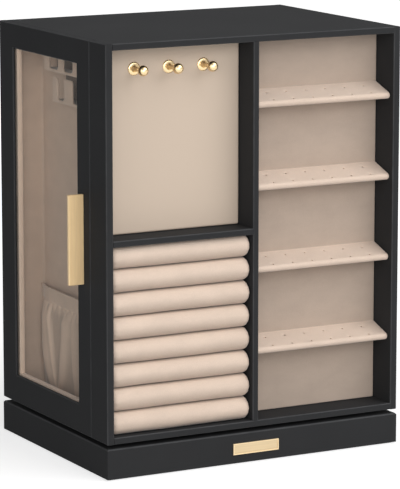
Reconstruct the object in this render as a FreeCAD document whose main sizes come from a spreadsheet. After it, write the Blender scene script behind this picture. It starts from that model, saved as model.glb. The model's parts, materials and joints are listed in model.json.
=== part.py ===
"""Rotating jewelry box: a cabinet on a turntable plinth, with a glazed necklace door on its left,
hooks, ring rolls and earring shelves in its open front, and four drawers at its back.

Millimetres, +Z up, front towards -Y. The origin is on the turning axis, on the table.
"""
import FreeCAD, Part
import math
import os
import Sketcher

SIZES = {
    # Outside
    "cabinet_width": 262.0,
    "cabinet_depth": 192.0,
    "total_height": 340.0,
    # Plinth
    "plinth_height": 25.0,
    "turn_gap": 3.5,
    "plinth_rail": 9.0,
    "deck_board": 8.0,
    "foot_board": 3.0,
    "foot_sheet": 1.0,
    "foot_inset": 3.0,
    "plinth_edge": 1.0,
    # Bare plate on the plinth's front
    "plate_length": 41.0,
    "plate_height": 9.0,
    "plate_thickness": 1.2,
    "plate_rim": 0.8,
    "plate_sink": 0.4,
    # Turntable bearing
    "lower_disc_radius": 63.0,
    "upper_disc_radius": 54.0,
    "disc_steel": 2.0,
    "disc_fit": 0.3,
    "race_radius": 46.0,
    "race_depth": 0.8,
    "race_floor": 1.4,
    "race_lip": 2.4,
    "ball_radius": 3.175,
    "ball_play": 0.05,
    "ball_count": 16,
    "cage_width": 10.0,
    "cage_thickness": 1.2,
    "cage_play": 0.08,
    "rivet_radius": 5.0,
    "rivet_head_radius": 8.0,
    "rivet_head": 1.2,
    "rivet_play": 0.08,
    "rivet_room": 0.5,
    "lower_screw_circle": 57.0,
    "upper_screw_circle": 32.0,
    "access_radius": 6.0,
    # Countersunk screws, one size for the bearing and the hinges
    "screw_radius": 1.0,
    "screw_head_radius": 1.75,
    "screw_length": 4.5,
    "screw_fit": 0.05,
    "screw_skin": 1.2,
    "plate_screw_count": 4,
    # Boards
    "side_board": 6.0,
    "cap_board": 5.3,
    "inner_board": 5.0,
    "wall_board": 5.0,
    "post_board": 6.0,
    "board_edge": 0.7,
    # Open front: hooks and ring rolls on the left, earring shelves on the right
    "front_bay": 28.0,
    "hook_pad": 5.0,
    "earring_pad": 2.0,
    "pad_gap": 0.3,
    "pad_round": 1.0,
    "roll_count": 8,
    "roll_pitch": 18.67,
    "roll_gap": 0.3,
    "roll_setback": 2.5,
    "roll_end_gap": 0.4,
    "roll_end_round": 4.0,
    "knob_count": 3,
    "knob_pitch": 30.2,
    "knob_shift": -1.5,
    "knob_drop": 17.7,
    "knob_ball_radius": 4.2,
    "knob_reach": 15.8,
    "knob_neck_radius": 2.0,
    "knob_stud": 7.0,
    "rosette_radius": 5.3,
    "rosette_thickness": 1.2,
    "shelf_count": 4,
    "lowest_shelf": 64.3,
    "top_shelf_drop": 40.4,
    "shelf_slope_angle": 19.0,
    "shelf_thickness": 5.5,
    "shelf_nose": 2.5,
    "shelf_setback": 3.3,
    "earring_hole_count": 6,
    "earring_hole_pitch": 17.8,
    "earring_hole_radius": 1.0,
    "front_hole_row": 7.0,
    "back_hole_row": 19.0,
    # Necklace bay behind the left door
    "necklace_bay": 35.0,
    "liner": 1.5,
    "liner_setback": 0.5,
    "rack_plate": 2.0,
    "rack_wall": 1.8,
    "rack_reach": 14.0,
    "rack_lip": 20.2,
    "rack_foot": 2.3,
    "rack_drop": 31.8,
    "rack_tier_drop": 23.9,
    "rack_top": 3.0,
    "upper_bar_count": 4,
    "upper_bar": 9.4,
    "upper_slot": 16.8,
    "lower_bar": 9.2,
    "lower_slot": 11.3,
    "lower_middle_bar": 15.3,
    "pocket_height": 89.0,
    "pocket_hem": 12.0,
    "pocket_depth": 9.2,
    "pocket_cloth": 1.2,
    "pocket_fold_count": 7,
    "pocket_fold_depth": 2.4,
    "pocket_draw_share": 0.35,
    "pocket_end_gap": 0.3,
    # Left door
    "door_gap": 0.4,
    "window_front": 22.5,
    "window_rear": 25.4,
    "window_top": 20.0,
    "window_bottom": 23.0,
    "door_lip": 1.8,
    "glass_thickness": 2.0,
    "glass_gap": 0.2,
    "bead_lap": 5.0,
    "bead_depth": 4.4,
    # Fin handles, one on the door and one on each drawer
    "handle_length": 71.0,
    "handle_reach": 13.0,
    "handle_thickness": 3.0,
    "handle_edge": 0.5,
    "handle_offset": 12.2,
    "stud_radius": 1.2,
    "stud_length": 3.5,
    "stud_spacing": 44.0,
    "stud_fit": 0.05,
    # Door hinges and magnet catch
    "hinge_height": 30.0,
    "hinge_inset": 52.0,
    "hinge_plate": 0.9,
    "hinge_play": 0.2,
    "hinge_barrel_radius": 1.7,
    "hinge_pin_radius": 0.85,
    "hinge_pin_play": 0.05,
    "hinge_pin_head": 0.6,
    "magnet_radius": 2.0,
    "magnet_thickness": 2.0,
    # Drawers at the back
    "drawer_count": 4,
    "drawer_gap": 1.0,
    "drawer_rise": 0.3,
    "drawer_front": 6.0,
    "drawer_back_gap": 5.0,
    "drawer_wall": 4.0,
    "drawer_floor": 3.0,
    "drawer_headroom": 8.0,
}

DOC = FreeCAD.newDocument("RotatingJewelryBox")
SHEET = DOC.addObject("Spreadsheet::Sheet", "Sizes")
NODES = []


class Size:
    """A length that knows its present value and the sheet formula that it comes from."""

    def __init__(self, value, formula):
        self.value = float(value)
        self.formula = formula

    def __add__(self, other):
        other = sized(other)
        return Size(self.value + other.value, "(%s + %s)" % (self.formula, other.formula))

    def __sub__(self, other):
        other = sized(other)
        return Size(self.value - other.value, "(%s - %s)" % (self.formula, other.formula))

    def __mul__(self, other):
        other = sized(other)
        return Size(self.value * other.value, "(%s * %s)" % (self.formula, other.formula))

    def __truediv__(self, other):
        other = sized(other)
        return Size(self.value / other.value, "(%s / %s)" % (self.formula, other.formula))

    def __neg__(self):
        return Size(-self.value, "(0 - %s)" % self.formula)

    def __radd__(self, other):
        return sized(other) + self

    def __rsub__(self, other):
        return sized(other) - self

    def __rmul__(self, other):
        return sized(other) * self


class Names:
    """Gives each sheet alias as a Size, so that S.side_board reads like the word it is."""

    def __getattr__(self, alias):
        return Size(SHEET.get(alias), "Sizes." + alias)


S = Names()


def sized(thing):
    """Returns a Size as it is and a plain number as a constant Size."""
    if isinstance(thing, Size):
        return thing
    return Size(thing, "(%.6f)" % thing)


def sine(angle):
    return Size(math.sin(math.radians(angle.value)), "sin(%s * 1 deg)" % angle.formula)


def cosine(angle):
    return Size(math.cos(math.radians(angle.value)), "cos(%s * 1 deg)" % angle.formula)


def tangent(angle):
    return sine(angle) / cosine(angle)


def count(size):
    return int(size.value)


def fill_sheet():
    """Writes one row for each driving size: its name and its value, with the name as its alias."""
    for row, (alias, value) in enumerate(SIZES.items(), start=1):
        SHEET.set("A%d" % row, alias.replace("_", " "))
        SHEET.set("B%d" % row, str(value))
        SHEET.setAlias("B%d" % row, alias)
    DOC.recompute()


fill_sheet()


def bind(thing, path, size):
    """Ties one property of an object to a formula of the sheet."""
    thing.setExpression(path, sized(size).formula)


def move(thing, x, y, z):
    """Places an object at a point of the sheet's sizes."""
    for axis, size in zip("xyz", (x, y, z)):
        bind(thing, "Placement.Base." + axis, size)


def keep(thing, label):
    """Names an object and lists it as a sub-part."""
    thing.Label = label
    NODES.append(thing)
    return thing


# Planes of a body: the origin plane's role and the direction in which a pad grows from it
PLANES = {"XY": ("XY_Plane", "+z"), "XZ": ("XZ_Plane", "-y"), "YZ": ("YZ_Plane", "+x")}


class Piece:
    """A body whose local origin stands at a given point, built up feature by feature."""

    def __init__(self, label, x=0, y=0, z=0):
        self.body = keep(DOC.addObject("PartDesign::Body", label), label)
        self.body.AllowCompound = True
        self.planes = {}
        move(self.body, x, y, z)

    def sketch(self, plane, at=0):
        """Starts a sketch on an origin plane, moved to a coordinate along the plane's axis."""
        role, grows = PLANES[plane]
        sketch = self.body.newObject("Sketcher::SketchObject", "Sketch")
        support = next(f for f in self.body.Origin.OriginFeatures if f.Role == role)
        sketch.AttachmentSupport = (support, [""])
        sketch.MapMode = "FlatFace"
        lift = -sized(at) if grows.startswith("-") else sized(at)
        bind(sketch, "AttachmentOffset.Base.z", lift)
        self.planes[sketch.Name] = grows
        return sketch

    def feature(self, kind, sketch):
        feature = self.body.newObject("PartDesign::" + kind, kind)
        feature.Profile = sketch
        sketch.Visibility = False
        self.body.Tip = feature
        return feature

    def pad(self, sketch, length, towards):
        feature = self.feature("Pad", sketch)
        bind(feature, "Length", length)
        feature.Reversed = towards != self.planes[sketch.Name]
        return feature

    def pocket(self, sketch, depth, towards):
        """Cuts a sketch into the piece, or through it all, and makes sure that it removed something."""
        DOC.recompute()
        before = self.body.Shape.Volume
        feature = self.feature("Pocket", sketch)
        if depth == "through":
            feature.Type = "ThroughAll"
        else:
            bind(feature, "Length", depth)
        feature.Reversed = towards == self.planes[sketch.Name]
        DOC.recompute()
        if self.body.Shape.Volume >= before - 1e-6:
            raise RuntimeError("a pocket of %s cuts nothing" % self.body.Label)
        return feature

    def revolve(self, sketch):
        """Turns a sketch a full turn about its own vertical axis."""
        feature = self.feature("Revolution", sketch)
        feature.ReferenceAxis = (sketch, ["V_Axis"])
        feature.Angle = 360.0
        return feature

    def screw_holes(self, sketch, depth, towards):
        """Drills countersunk holes for the screws at a sketch's circles."""
        DOC.recompute()
        before = self.body.Shape.Volume
        feature = self.feature("Hole", sketch)
        feature.ThreadType = "None"
        feature.DepthType = "Dimension"
        feature.DrillPoint = "Flat"
        feature.HoleCutType = "Countersink"
        feature.HoleCutCustomValues = True
        feature.HoleCutCountersinkAngle = 90.0
        bind(feature, "Diameter", 2 * (S.screw_radius + S.screw_fit))
        bind(feature, "HoleCutDiameter", 2 * (S.screw_head_radius + S.screw_fit))
        bind(feature, "Depth", depth)
        feature.Reversed = towards == self.planes[sketch.Name]
        DOC.recompute()
        if self.body.Shape.Volume >= before - 1e-6:
            raise RuntimeError("the holes of %s cut nothing" % self.body.Label)
        return feature

    def dress(self, kind, size_name, size, edges):
        """Rounds or bevels the edges that pass a test, or lie along an axis at local coordinates."""
        DOC.recompute()
        base = self.body.Tip
        names = []
        for number, edge in enumerate(base.Shape.Edges, start=1):
            if any(test(edge) if callable(test) else lies(edge, *test) for test in edges):
                names.append("Edge%d" % number)
        if not names:
            raise RuntimeError("no edge found on " + self.body.Label)
        feature = self.body.newObject("PartDesign::" + kind, kind)
        feature.Base = (base, names)
        bind(feature, size_name, size)
        self.body.Tip = feature
        return feature

    def chamfer(self, size, *edges):
        return self.dress("Chamfer", "Size", size, edges)

    def fillet(self, radius, *edges):
        return self.dress("Fillet", "Radius", radius, edges)

    def polar(self, feature, copies):
        """Repeats a feature about the piece's vertical axis."""
        pattern = self.body.newObject("PartDesign::PolarPattern", "PolarPattern")
        pattern.Originals = [feature]
        axis = next(f for f in self.body.Origin.OriginFeatures if f.Role == "Z_Axis")
        pattern.Axis = (axis, [""])
        pattern.Angle = 360.0
        pattern.Occurrences = copies
        self.body.Tip = pattern
        return pattern


def lies(edge, along, at):
    """Tells whether a straight edge runs along an axis and its middle has the coordinates given."""
    if edge.Curve.TypeId != "Part::GeomLine":
        return False
    first, last = edge.Vertexes[0].Point, edge.Vertexes[-1].Point
    run = last - first
    for axis in "xyz":
        if axis != along and abs(getattr(run, axis)) > 1e-4:
            return False
    middle = (first + last) * 0.5
    return all(abs(getattr(middle, axis) - sized(size).value) < 0.01 for axis, size in at.items())


def hold(sketch, geometry, point, across, up):
    """Holds a sketch point at a distance across and up from the sketch's origin."""
    for kind, size in (("DistanceX", across), ("DistanceY", up)):
        size = sized(size)
        number = sketch.addConstraint(Sketcher.Constraint(kind, -1, 1, geometry, point, size.value))
        sketch.setExpression("Constraints[%d]" % number, size.formula)


def outline(sketch, corners):
    """Draws a closed outline of straight lines through corners given as (across, up)."""
    first = sketch.GeometryCount
    points = [FreeCAD.Vector(sized(a).value, sized(u).value, 0) for a, u in corners]
    for start, end in zip(points, points[1:] + points[:1]):
        sketch.addGeometry(Part.LineSegment(start, end), False)
    total = len(corners)
    for index in range(total):
        following = first + (index + 1) % total
        sketch.addConstraint(Sketcher.Constraint("Coincident", first + index, 2, following, 1))
    for index, (across, up) in enumerate(corners):
        hold(sketch, first + index, 1, across, up)


def rectangle(sketch, left, low, right, high):
    outline(sketch, [(left, low), (right, low), (right, high), (left, high)])


def circle(sketch, across, up, radius):
    across, up, radius = sized(across), sized(up), sized(radius)
    centre = FreeCAD.Vector(across.value, up.value, 0)
    number = sketch.addGeometry(Part.Circle(centre, FreeCAD.Vector(0, 0, 1), radius.value), False)
    hold(sketch, number, 3, across, up)
    ring = sketch.addConstraint(Sketcher.Constraint("Radius", number, radius.value))
    sketch.setExpression("Constraints[%d]" % ring, radius.formula)


def board(label, low, high):
    """Makes a board between two corners; its local origin is the low corner."""
    piece = Piece(label, *low)
    across, deep, tall = (sized(b) - sized(a) for a, b in zip(low, high))
    sketch = piece.sketch("XY")
    rectangle(sketch, 0, 0, across, deep)
    piece.pad(sketch, tall, "+z")
    piece.across = across
    piece.deep = deep
    piece.tall = tall
    return piece


# Places that several pieces share
LEFT = -S.cabinet_width / 2
RIGHT = S.cabinet_width / 2
FRONT = -S.cabinet_depth / 2
BACK = S.cabinet_depth / 2
TOP = S.total_height
CABINET_Z = S.plinth_height + S.turn_gap
FLOOR = CABINET_Z + S.cap_board
CEILING = TOP - S.cap_board
MIDDLE_Z = (CABINET_Z + TOP) / 2
IN_LEFT = LEFT + S.side_board
IN_RIGHT = RIGHT - S.side_board
BAY_BACK = FRONT + S.front_bay
CORE_Y = BAY_BACK + S.wall_board
DIVIDER_LEFT = -S.inner_board / 2
DIVIDER_RIGHT = S.inner_board / 2
SHELF_Z = FLOOR + S.roll_pitch * S.roll_count
SHELF_TOP = SHELF_Z + S.inner_board
NECKLACE_X = LEFT + S.necklace_bay
PARTITION_X = NECKLACE_X + S.liner
POST_Y = BACK - S.post_board
DRAWER_LEFT = PARTITION_X + S.inner_board
DRAWER_BAY = (CEILING - FLOOR - S.inner_board * (S.drawer_count - 1)) / S.drawer_count
DOOR_BACK = IN_LEFT - S.door_gap
DOOR_THICK = DOOR_BACK - LEFT
DOOR_FRONT = BAY_BACK + S.door_gap
HINGE_X = (DOOR_BACK + IN_LEFT) / 2
HINGE_Y = BACK + S.hinge_barrel_radius
DOOR_SCREW = HINGE_X - S.hinge_play / 2 - LEFT - S.screw_skin
RACE_GAP = 2 * (S.ball_radius + S.ball_play - S.race_depth)
UPPER_DISC_Z = CABINET_Z - S.disc_steel
LOWER_DISC_TOP = UPPER_DISC_Z - RACE_GAP
LOWER_DISC_Z = LOWER_DISC_TOP - S.disc_steel
KNOB_X = (IN_LEFT + DIVIDER_LEFT) / 2 + S.knob_shift
KNOB_Z = CEILING - S.knob_drop
PAD_FACE = BAY_BACK - S.hook_pad


def plinth_rails():
    """Four mitred rails: a trapezoid each, bevelled along the top outside edge."""
    tall = S.plinth_height - S.foot_sheet
    rail = S.plinth_rail
    long_rails = Piece("plinth_long_rails", 0, 0, S.foot_sheet)
    sketch = long_rails.sketch("XY")
    outline(sketch, [(LEFT, FRONT), (RIGHT, FRONT),
                     (RIGHT - rail, FRONT + rail), (LEFT + rail, FRONT + rail)])
    outline(sketch, [(LEFT, BACK), (LEFT + rail, BACK - rail),
                     (RIGHT - rail, BACK - rail), (RIGHT, BACK)])
    long_rails.pad(sketch, tall, "+z")
    long_rails.chamfer(S.plinth_edge, ("x", {"y": FRONT, "z": tall}), ("x", {"y": BACK, "z": tall}))
    short_rails = Piece("plinth_short_rails", 0, 0, S.foot_sheet)
    sketch = short_rails.sketch("XY")
    outline(sketch, [(LEFT, FRONT), (LEFT + rail, FRONT + rail),
                     (LEFT + rail, BACK - rail), (LEFT, BACK)])
    outline(sketch, [(RIGHT, FRONT), (RIGHT, BACK),
                     (RIGHT - rail, BACK - rail), (RIGHT - rail, FRONT + rail)])
    short_rails.pad(sketch, tall, "+z")
    short_rails.chamfer(S.plinth_edge, ("y", {"x": LEFT, "z": tall}), ("y", {"x": RIGHT, "z": tall}))


def screw_ring(radius):
    """Gives the centres of the screws on a circle, a quarter turn apart and 45 degrees off the axes."""
    total = count(S.plate_screw_count)
    turns = [math.radians(45 + 360 * index / total) for index in range(total)]
    return [(radius * math.cos(turn), radius * math.sin(turn)) for turn in turns]


def plinth_boards():
    """The deck with its bearing recess, the board that closes the underside and the non-slip sheet."""
    rail = S.plinth_rail
    recess = S.plinth_height - LOWER_DISC_Z
    deck = Piece("plinth_deck", 0, 0, S.plinth_height - S.deck_board)
    sketch = deck.sketch("XY")
    rectangle(sketch, LEFT + rail, FRONT + rail, RIGHT - rail, BACK - rail)
    deck.pad(sketch, S.deck_board, "+z")
    sketch = deck.sketch("XY", S.deck_board)
    circle(sketch, 0, 0, S.lower_disc_radius + S.disc_fit)
    deck.pocket(sketch, recess, "-z")
    sketch = deck.sketch("XY", S.deck_board)
    circle(sketch, 0, 0, S.rivet_head_radius + S.rivet_room)
    circle(sketch, S.upper_screw_circle, 0, S.access_radius)
    deck.pocket(sketch, "through", "-z")
    sketch = deck.sketch("XY", S.deck_board)
    for across, up in screw_ring(S.lower_screw_circle):
        circle(sketch, across, up, S.screw_radius + S.screw_fit)
    deck.pocket(sketch, "through", "-z")
    board("plinth_bottom_board", (LEFT + rail, FRONT + rail, S.foot_sheet),
          (RIGHT - rail, BACK - rail, S.foot_sheet + S.foot_board))
    inset = S.foot_inset
    board("non_slip_sheet", (LEFT + inset, FRONT + inset, 0), (RIGHT - inset, BACK - inset, S.foot_sheet))


def nameplate():
    """A bare plate with a raised rim, centred on the plinth's front."""
    low_z = (S.plinth_height - S.plate_height) / 2
    plate = board("nameplate", (-S.plate_length / 2, FRONT - S.plate_thickness, low_z),
                  (S.plate_length / 2, FRONT, low_z + S.plate_height))
    sketch = plate.sketch("XZ")
    rim = S.plate_rim
    rectangle(sketch, rim, rim, S.plate_length - rim, S.plate_height - rim)
    plate.pocket(sketch, S.plate_sink, "+y")


def race_disc(label, radius, hub, low_z, groove_up):
    """A steel disc with a pressed ball race, on its top face or on its underside."""
    disc = Piece(label, 0, 0, low_z)
    sketch = disc.sketch("XZ")
    level = S.disc_steel if groove_up else sized(0)
    bottom = level - S.race_depth if groove_up else level + S.race_depth
    race = [(S.race_radius - S.race_lip, level), (S.race_radius - S.race_floor, bottom),
            (S.race_radius + S.race_floor, bottom), (S.race_radius + S.race_lip, level)]
    under = [] if groove_up else race
    over = race[::-1] if groove_up else []
    rim = [(radius, 0), (radius, S.disc_steel)]
    outline(sketch, [(hub, 0)] + under + rim + over + [(hub, S.disc_steel)])
    disc.revolve(sketch)
    return disc


def turntable():
    """The bearing: two grooved discs, a ring of balls in a cage and the rivet that holds them."""
    hub = S.rivet_radius + S.rivet_play
    lower = race_disc("turntable_lower_plate", S.lower_disc_radius, hub, LOWER_DISC_Z, True)
    sketch = lower.sketch("XY", S.disc_steel)
    circle(sketch, S.upper_screw_circle, 0, S.access_radius)
    lower.pocket(sketch, S.disc_steel, "-z")
    sketch = lower.sketch("XY", S.disc_steel)
    for across, up in screw_ring(S.lower_screw_circle):
        circle(sketch, across, up, S.screw_radius + S.screw_fit)
    lower.screw_holes(sketch, S.disc_steel, "-z")
    upper = race_disc("turntable_upper_plate", S.upper_disc_radius, hub, UPPER_DISC_Z, False)
    sketch = upper.sketch("XY")
    for across, up in screw_ring(S.upper_screw_circle):
        circle(sketch, across, up, S.screw_radius + S.screw_fit)
    upper.screw_holes(sketch, S.disc_steel, "+z")
    ring_z = (LOWER_DISC_TOP + UPPER_DISC_Z) / 2
    cage = Piece("turntable_ball_cage", 0, 0, ring_z - S.cage_thickness / 2)
    sketch = cage.sketch("XY")
    circle(sketch, 0, 0, S.race_radius + S.cage_width / 2)
    circle(sketch, 0, 0, S.race_radius - S.cage_width / 2)
    cage.pad(sketch, S.cage_thickness, "+z")
    sketch = cage.sketch("XY", S.cage_thickness)
    circle(sketch, S.race_radius, 0, S.ball_radius + S.cage_play)
    cage.polar(cage.pocket(sketch, S.cage_thickness, "-z"), count(S.ball_count))
    balls = []
    for index in range(count(S.ball_count)):
        turn = math.radians(360 * index / count(S.ball_count))
        ball = DOC.addObject("Part::Sphere", "Ball")
        bind(ball, "Radius", S.ball_radius)
        move(ball, S.race_radius * math.cos(turn), S.race_radius * math.sin(turn), ring_z)
        balls.append(ball)
    group("turntable_balls", balls)
    rivet = Piece("turntable_rivet", 0, 0, LOWER_DISC_Z - S.rivet_head)
    stack = CABINET_Z - LOWER_DISC_Z + S.rivet_play
    shank_top = S.rivet_head + stack
    sketch = rivet.sketch("XZ")
    outline(sketch, [(0, 0), (S.rivet_head_radius, 0), (S.rivet_head_radius, S.rivet_head),
                     (S.rivet_radius, S.rivet_head), (S.rivet_radius, shank_top),
                     (S.rivet_head_radius, shank_top), (S.rivet_head_radius, shank_top + S.rivet_head),
                     (0, shank_top + S.rivet_head)])
    rivet.revolve(sketch)


def group(label, solids):
    """Joins like pieces into one sub-part of separate solids."""
    compound = keep(DOC.addObject("Part::Compound", label), label)
    compound.Links = solids
    return compound


TURNS = {
    "+z": FreeCAD.Rotation(),
    "-z": FreeCAD.Rotation(FreeCAD.Vector(1, 0, 0), 180),
    "+x": FreeCAD.Rotation(FreeCAD.Vector(0, 1, 0), 90),
    "-x": FreeCAD.Rotation(FreeCAD.Vector(0, 1, 0), -90),
    "+y": FreeCAD.Rotation(FreeCAD.Vector(1, 0, 0), -90),
    "-y": FreeCAD.Rotation(FreeCAD.Vector(1, 0, 0), 90),
}
STEPS = {"+z": (0, 0, 1), "-z": (0, 0, -1), "+x": (1, 0, 0), "-x": (-1, 0, 0),
         "+y": (0, 1, 0), "-y": (0, -1, 0)}


def along(point, towards, distance):
    """Moves a point of sizes by a distance in one of the six directions."""
    return tuple(sized(p) + step * distance for p, step in zip(point, STEPS[towards]))


def rod(point, towards, radius, length):
    """A plain cylinder from a point in one of the six directions."""
    cylinder = DOC.addObject("Part::Cylinder", "Rod")
    bind(cylinder, "Radius", radius)
    bind(cylinder, "Height", length)
    cylinder.Placement.Rotation = TURNS[towards]
    move(cylinder, *point)
    return cylinder


def screw(point, towards, length):
    """A countersunk screw: its head's face is at the point and it runs in the direction given."""
    head = DOC.addObject("Part::Cone", "ScrewHead")
    deep = S.screw_head_radius - S.screw_radius
    bind(head, "Radius1", S.screw_head_radius)
    bind(head, "Radius2", S.screw_radius)
    bind(head, "Height", deep)
    head.Placement.Rotation = TURNS[towards]
    move(head, *point)
    shank = rod(along(point, towards, deep), towards, S.screw_radius, length - deep)
    return fused([head, shank])


def fused(parts):
    whole = DOC.addObject("Part::MultiFuse", "Fused")
    whole.Shapes = parts
    return whole


def hinge_levels():
    """Heights of the two hinges' middles."""
    return [CABINET_Z + S.hinge_inset, TOP - S.hinge_inset]


def hinge_screw_heights(middle):
    return [middle - S.hinge_height / 3, middle + S.hinge_height / 3]


def screws():
    """All countersunk screws, grouped by the body that they hold to."""
    length = S.screw_length
    lower = [screw((x, y, LOWER_DISC_TOP), "-z", length) for x, y in screw_ring(S.lower_screw_circle)]
    group("lower_plate_screws", lower)
    cabinet = [screw((x, y, UPPER_DISC_Z), "+z", length) for x, y in screw_ring(S.upper_screw_circle)]
    door = []
    leaf_y = (POST_Y + BACK) / 2
    half = S.hinge_play / 2
    for middle in hinge_levels():
        for height in hinge_screw_heights(middle):
            cabinet.append(screw((HINGE_X + half, leaf_y, height), "+x", length))
            door.append(screw((HINGE_X - half, leaf_y, height), "-x", DOOR_SCREW))
    group("cabinet_screws", cabinet)
    group("door_screws", door)


def cabinet_shell():
    """Top and bottom panels between full-height sides; the left side is a stile, the door and a post."""
    edge = S.board_edge
    top = board("top_panel", (IN_LEFT, FRONT, CEILING), (IN_RIGHT, BACK, TOP))
    top.chamfer(edge, ("x", {"y": 0}), ("x", {"y": top.deep}))
    bottom = board("bottom_panel", (IN_LEFT, FRONT, CABINET_Z), (IN_RIGHT, BACK, FLOOR))
    bottom.chamfer(edge, ("x", {"y": 0}), ("x", {"y": bottom.deep}))
    sketch = bottom.sketch("XY")
    circle(sketch, -IN_LEFT, -FRONT, S.rivet_head_radius + S.rivet_room)
    bottom.pocket(sketch, S.rivet_head + S.rivet_room, "+z")
    sketch = bottom.sketch("XY")
    for across, up in screw_ring(S.upper_screw_circle):
        circle(sketch, across - IN_LEFT, up - FRONT, S.screw_radius + S.screw_fit)
    bottom.pocket(sketch, S.screw_length - S.disc_steel + S.screw_fit, "+z")
    side = board("right_side_panel", (IN_RIGHT, FRONT, CABINET_Z), (RIGHT, BACK, TOP))
    side.chamfer(edge, ("z", {"x": side.across}), ("z", {"x": 0}), ("y", {"x": side.across}))
    stile = board("left_front_stile", (LEFT, FRONT, CABINET_Z), (IN_LEFT, BAY_BACK, TOP))
    stile.chamfer(edge, ("z", {"x": 0}), ("z", {"x": stile.across, "y": 0}), ("y", {"x": 0}))
    post = board("rear_post", (IN_LEFT, POST_Y, FLOOR), (PARTITION_X, BACK, CEILING))
    sketch = post.sketch("YZ")
    for middle in hinge_levels():
        rectangle(sketch, 0, middle - FLOOR - S.hinge_height / 2 - S.screw_fit,
                  S.post_board, middle - FLOOR + S.hinge_height / 2 + S.screw_fit)
    mortise = HINGE_X + S.hinge_play / 2 + S.hinge_plate - IN_LEFT
    post.pocket(sketch, mortise, "+x")
    sketch = post.sketch("YZ")
    for middle in hinge_levels():
        for height in hinge_screw_heights(middle):
            circle(sketch, S.post_board / 2, height - FLOOR, S.screw_radius + S.screw_fit)
    post.pocket(sketch, S.screw_length, "+x")


def inner_boards():
    """Divider, shelf, the wall behind the open front, the partition and the drawer shelves."""
    edge = S.board_edge
    divider = board("front_divider", (DIVIDER_LEFT, FRONT, FLOOR), (DIVIDER_RIGHT, BAY_BACK, CEILING))
    divider.chamfer(edge, ("z", {"y": 0}))
    shelf = board("front_shelf", (IN_LEFT, FRONT, SHELF_Z), (DIVIDER_LEFT, BAY_BACK, SHELF_TOP))
    shelf.chamfer(edge, ("x", {"y": 0}))
    wall = board("front_back_board", (IN_LEFT, BAY_BACK, FLOOR), (IN_RIGHT, CORE_Y, CEILING))
    sketch = wall.sketch("YZ")
    circle(sketch, S.wall_board / 2, MIDDLE_Z - FLOOR, S.magnet_radius)
    wall.pocket(sketch, S.magnet_thickness, "+x")
    sketch = wall.sketch("XZ")
    for across in knob_places():
        circle(sketch, across - IN_LEFT, KNOB_Z - FLOOR, S.knob_neck_radius + S.screw_fit)
    wall.pocket(sketch, S.knob_stud - S.hook_pad + S.screw_fit, "+y")
    board("partition_board", (PARTITION_X, CORE_Y, FLOOR), (DRAWER_LEFT, BACK, CEILING))
    for index in range(1, count(S.drawer_count)):
        low = drawer_level(index) - S.inner_board
        shelf = board("drawer_shelf_%d" % index, (DRAWER_LEFT, CORE_Y, low),
                      (IN_RIGHT, BACK, low + S.inner_board))
        shelf.chamfer(edge, ("x", {"y": shelf.deep}))


def knob_places():
    """Distances across of the knob hooks, spread evenly about the middle one."""
    total = count(S.knob_count)
    return [KNOB_X + (index - (total - 1) / 2) * S.knob_pitch for index in range(total)]


def hook_bay():
    """The padded panel with its knob hooks: a rosette, and a ball on a neck that ends in a stud."""
    gap = S.pad_gap
    pad = board("hook_panel_pad", (IN_LEFT + gap, PAD_FACE, SHELF_TOP + gap),
                (DIVIDER_LEFT - gap, BAY_BACK, CEILING - gap))
    pad.fillet(S.pad_round, ("x", {"y": 0}), ("z", {"y": 0}))
    sketch = pad.sketch("XZ")
    for across in knob_places():
        circle(sketch, across - IN_LEFT - gap, KNOB_Z - SHELF_TOP - gap, S.knob_neck_radius + S.screw_fit)
    pad.pocket(sketch, S.hook_pad, "+y")
    rosettes = Piece("hook_rosettes", 0, PAD_FACE, KNOB_Z)
    sketch = rosettes.sketch("XZ")
    for across in knob_places():
        circle(sketch, across, 0, S.rosette_radius)
        circle(sketch, across, 0, S.knob_neck_radius + S.screw_fit)
    rosettes.pad(sketch, S.rosette_thickness, "-y")
    knobs = []
    for across in knob_places():
        ball = DOC.addObject("Part::Sphere", "KnobBall")
        bind(ball, "Radius", S.knob_ball_radius)
        move(ball, across, PAD_FACE - S.knob_reach, KNOB_Z)
        neck = rod((across, PAD_FACE + S.knob_stud, KNOB_Z), "-y", S.knob_neck_radius,
                   S.knob_stud + S.knob_reach)
        knobs.append(fused([ball, neck]))
    group("hook_knobs", knobs)


def ring_rolls():
    """Stuffed rolls, one above the other: half-round in front, flat at the back, with rounded ends."""
    rolls = Piece("ring_rolls", IN_LEFT + S.roll_end_gap, FRONT + S.roll_setback, FLOOR)
    tall = S.roll_pitch - S.roll_gap
    deep = S.front_bay - S.roll_setback
    length = DIVIDER_LEFT - IN_LEFT - 2 * S.roll_end_gap
    sketch = rolls.sketch("YZ")
    for index in range(count(S.roll_count)):
        low = S.roll_gap / 2 + index * S.roll_pitch
        rectangle(sketch, 0, low, deep, low + tall)
    rolls.pad(sketch, length, "+x")
    rolls.fillet(tall / 2 - S.roll_gap / 2, ("x", {"y": 0}))

    def end_rim(edge):
        box = edge.BoundBox
        at_an_end = box.XMax < 0.01 or box.XMin > length.value - 0.01
        return at_an_end and box.YMin < deep.value - 0.01

    rolls.fillet(S.roll_end_round, end_rim)


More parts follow.
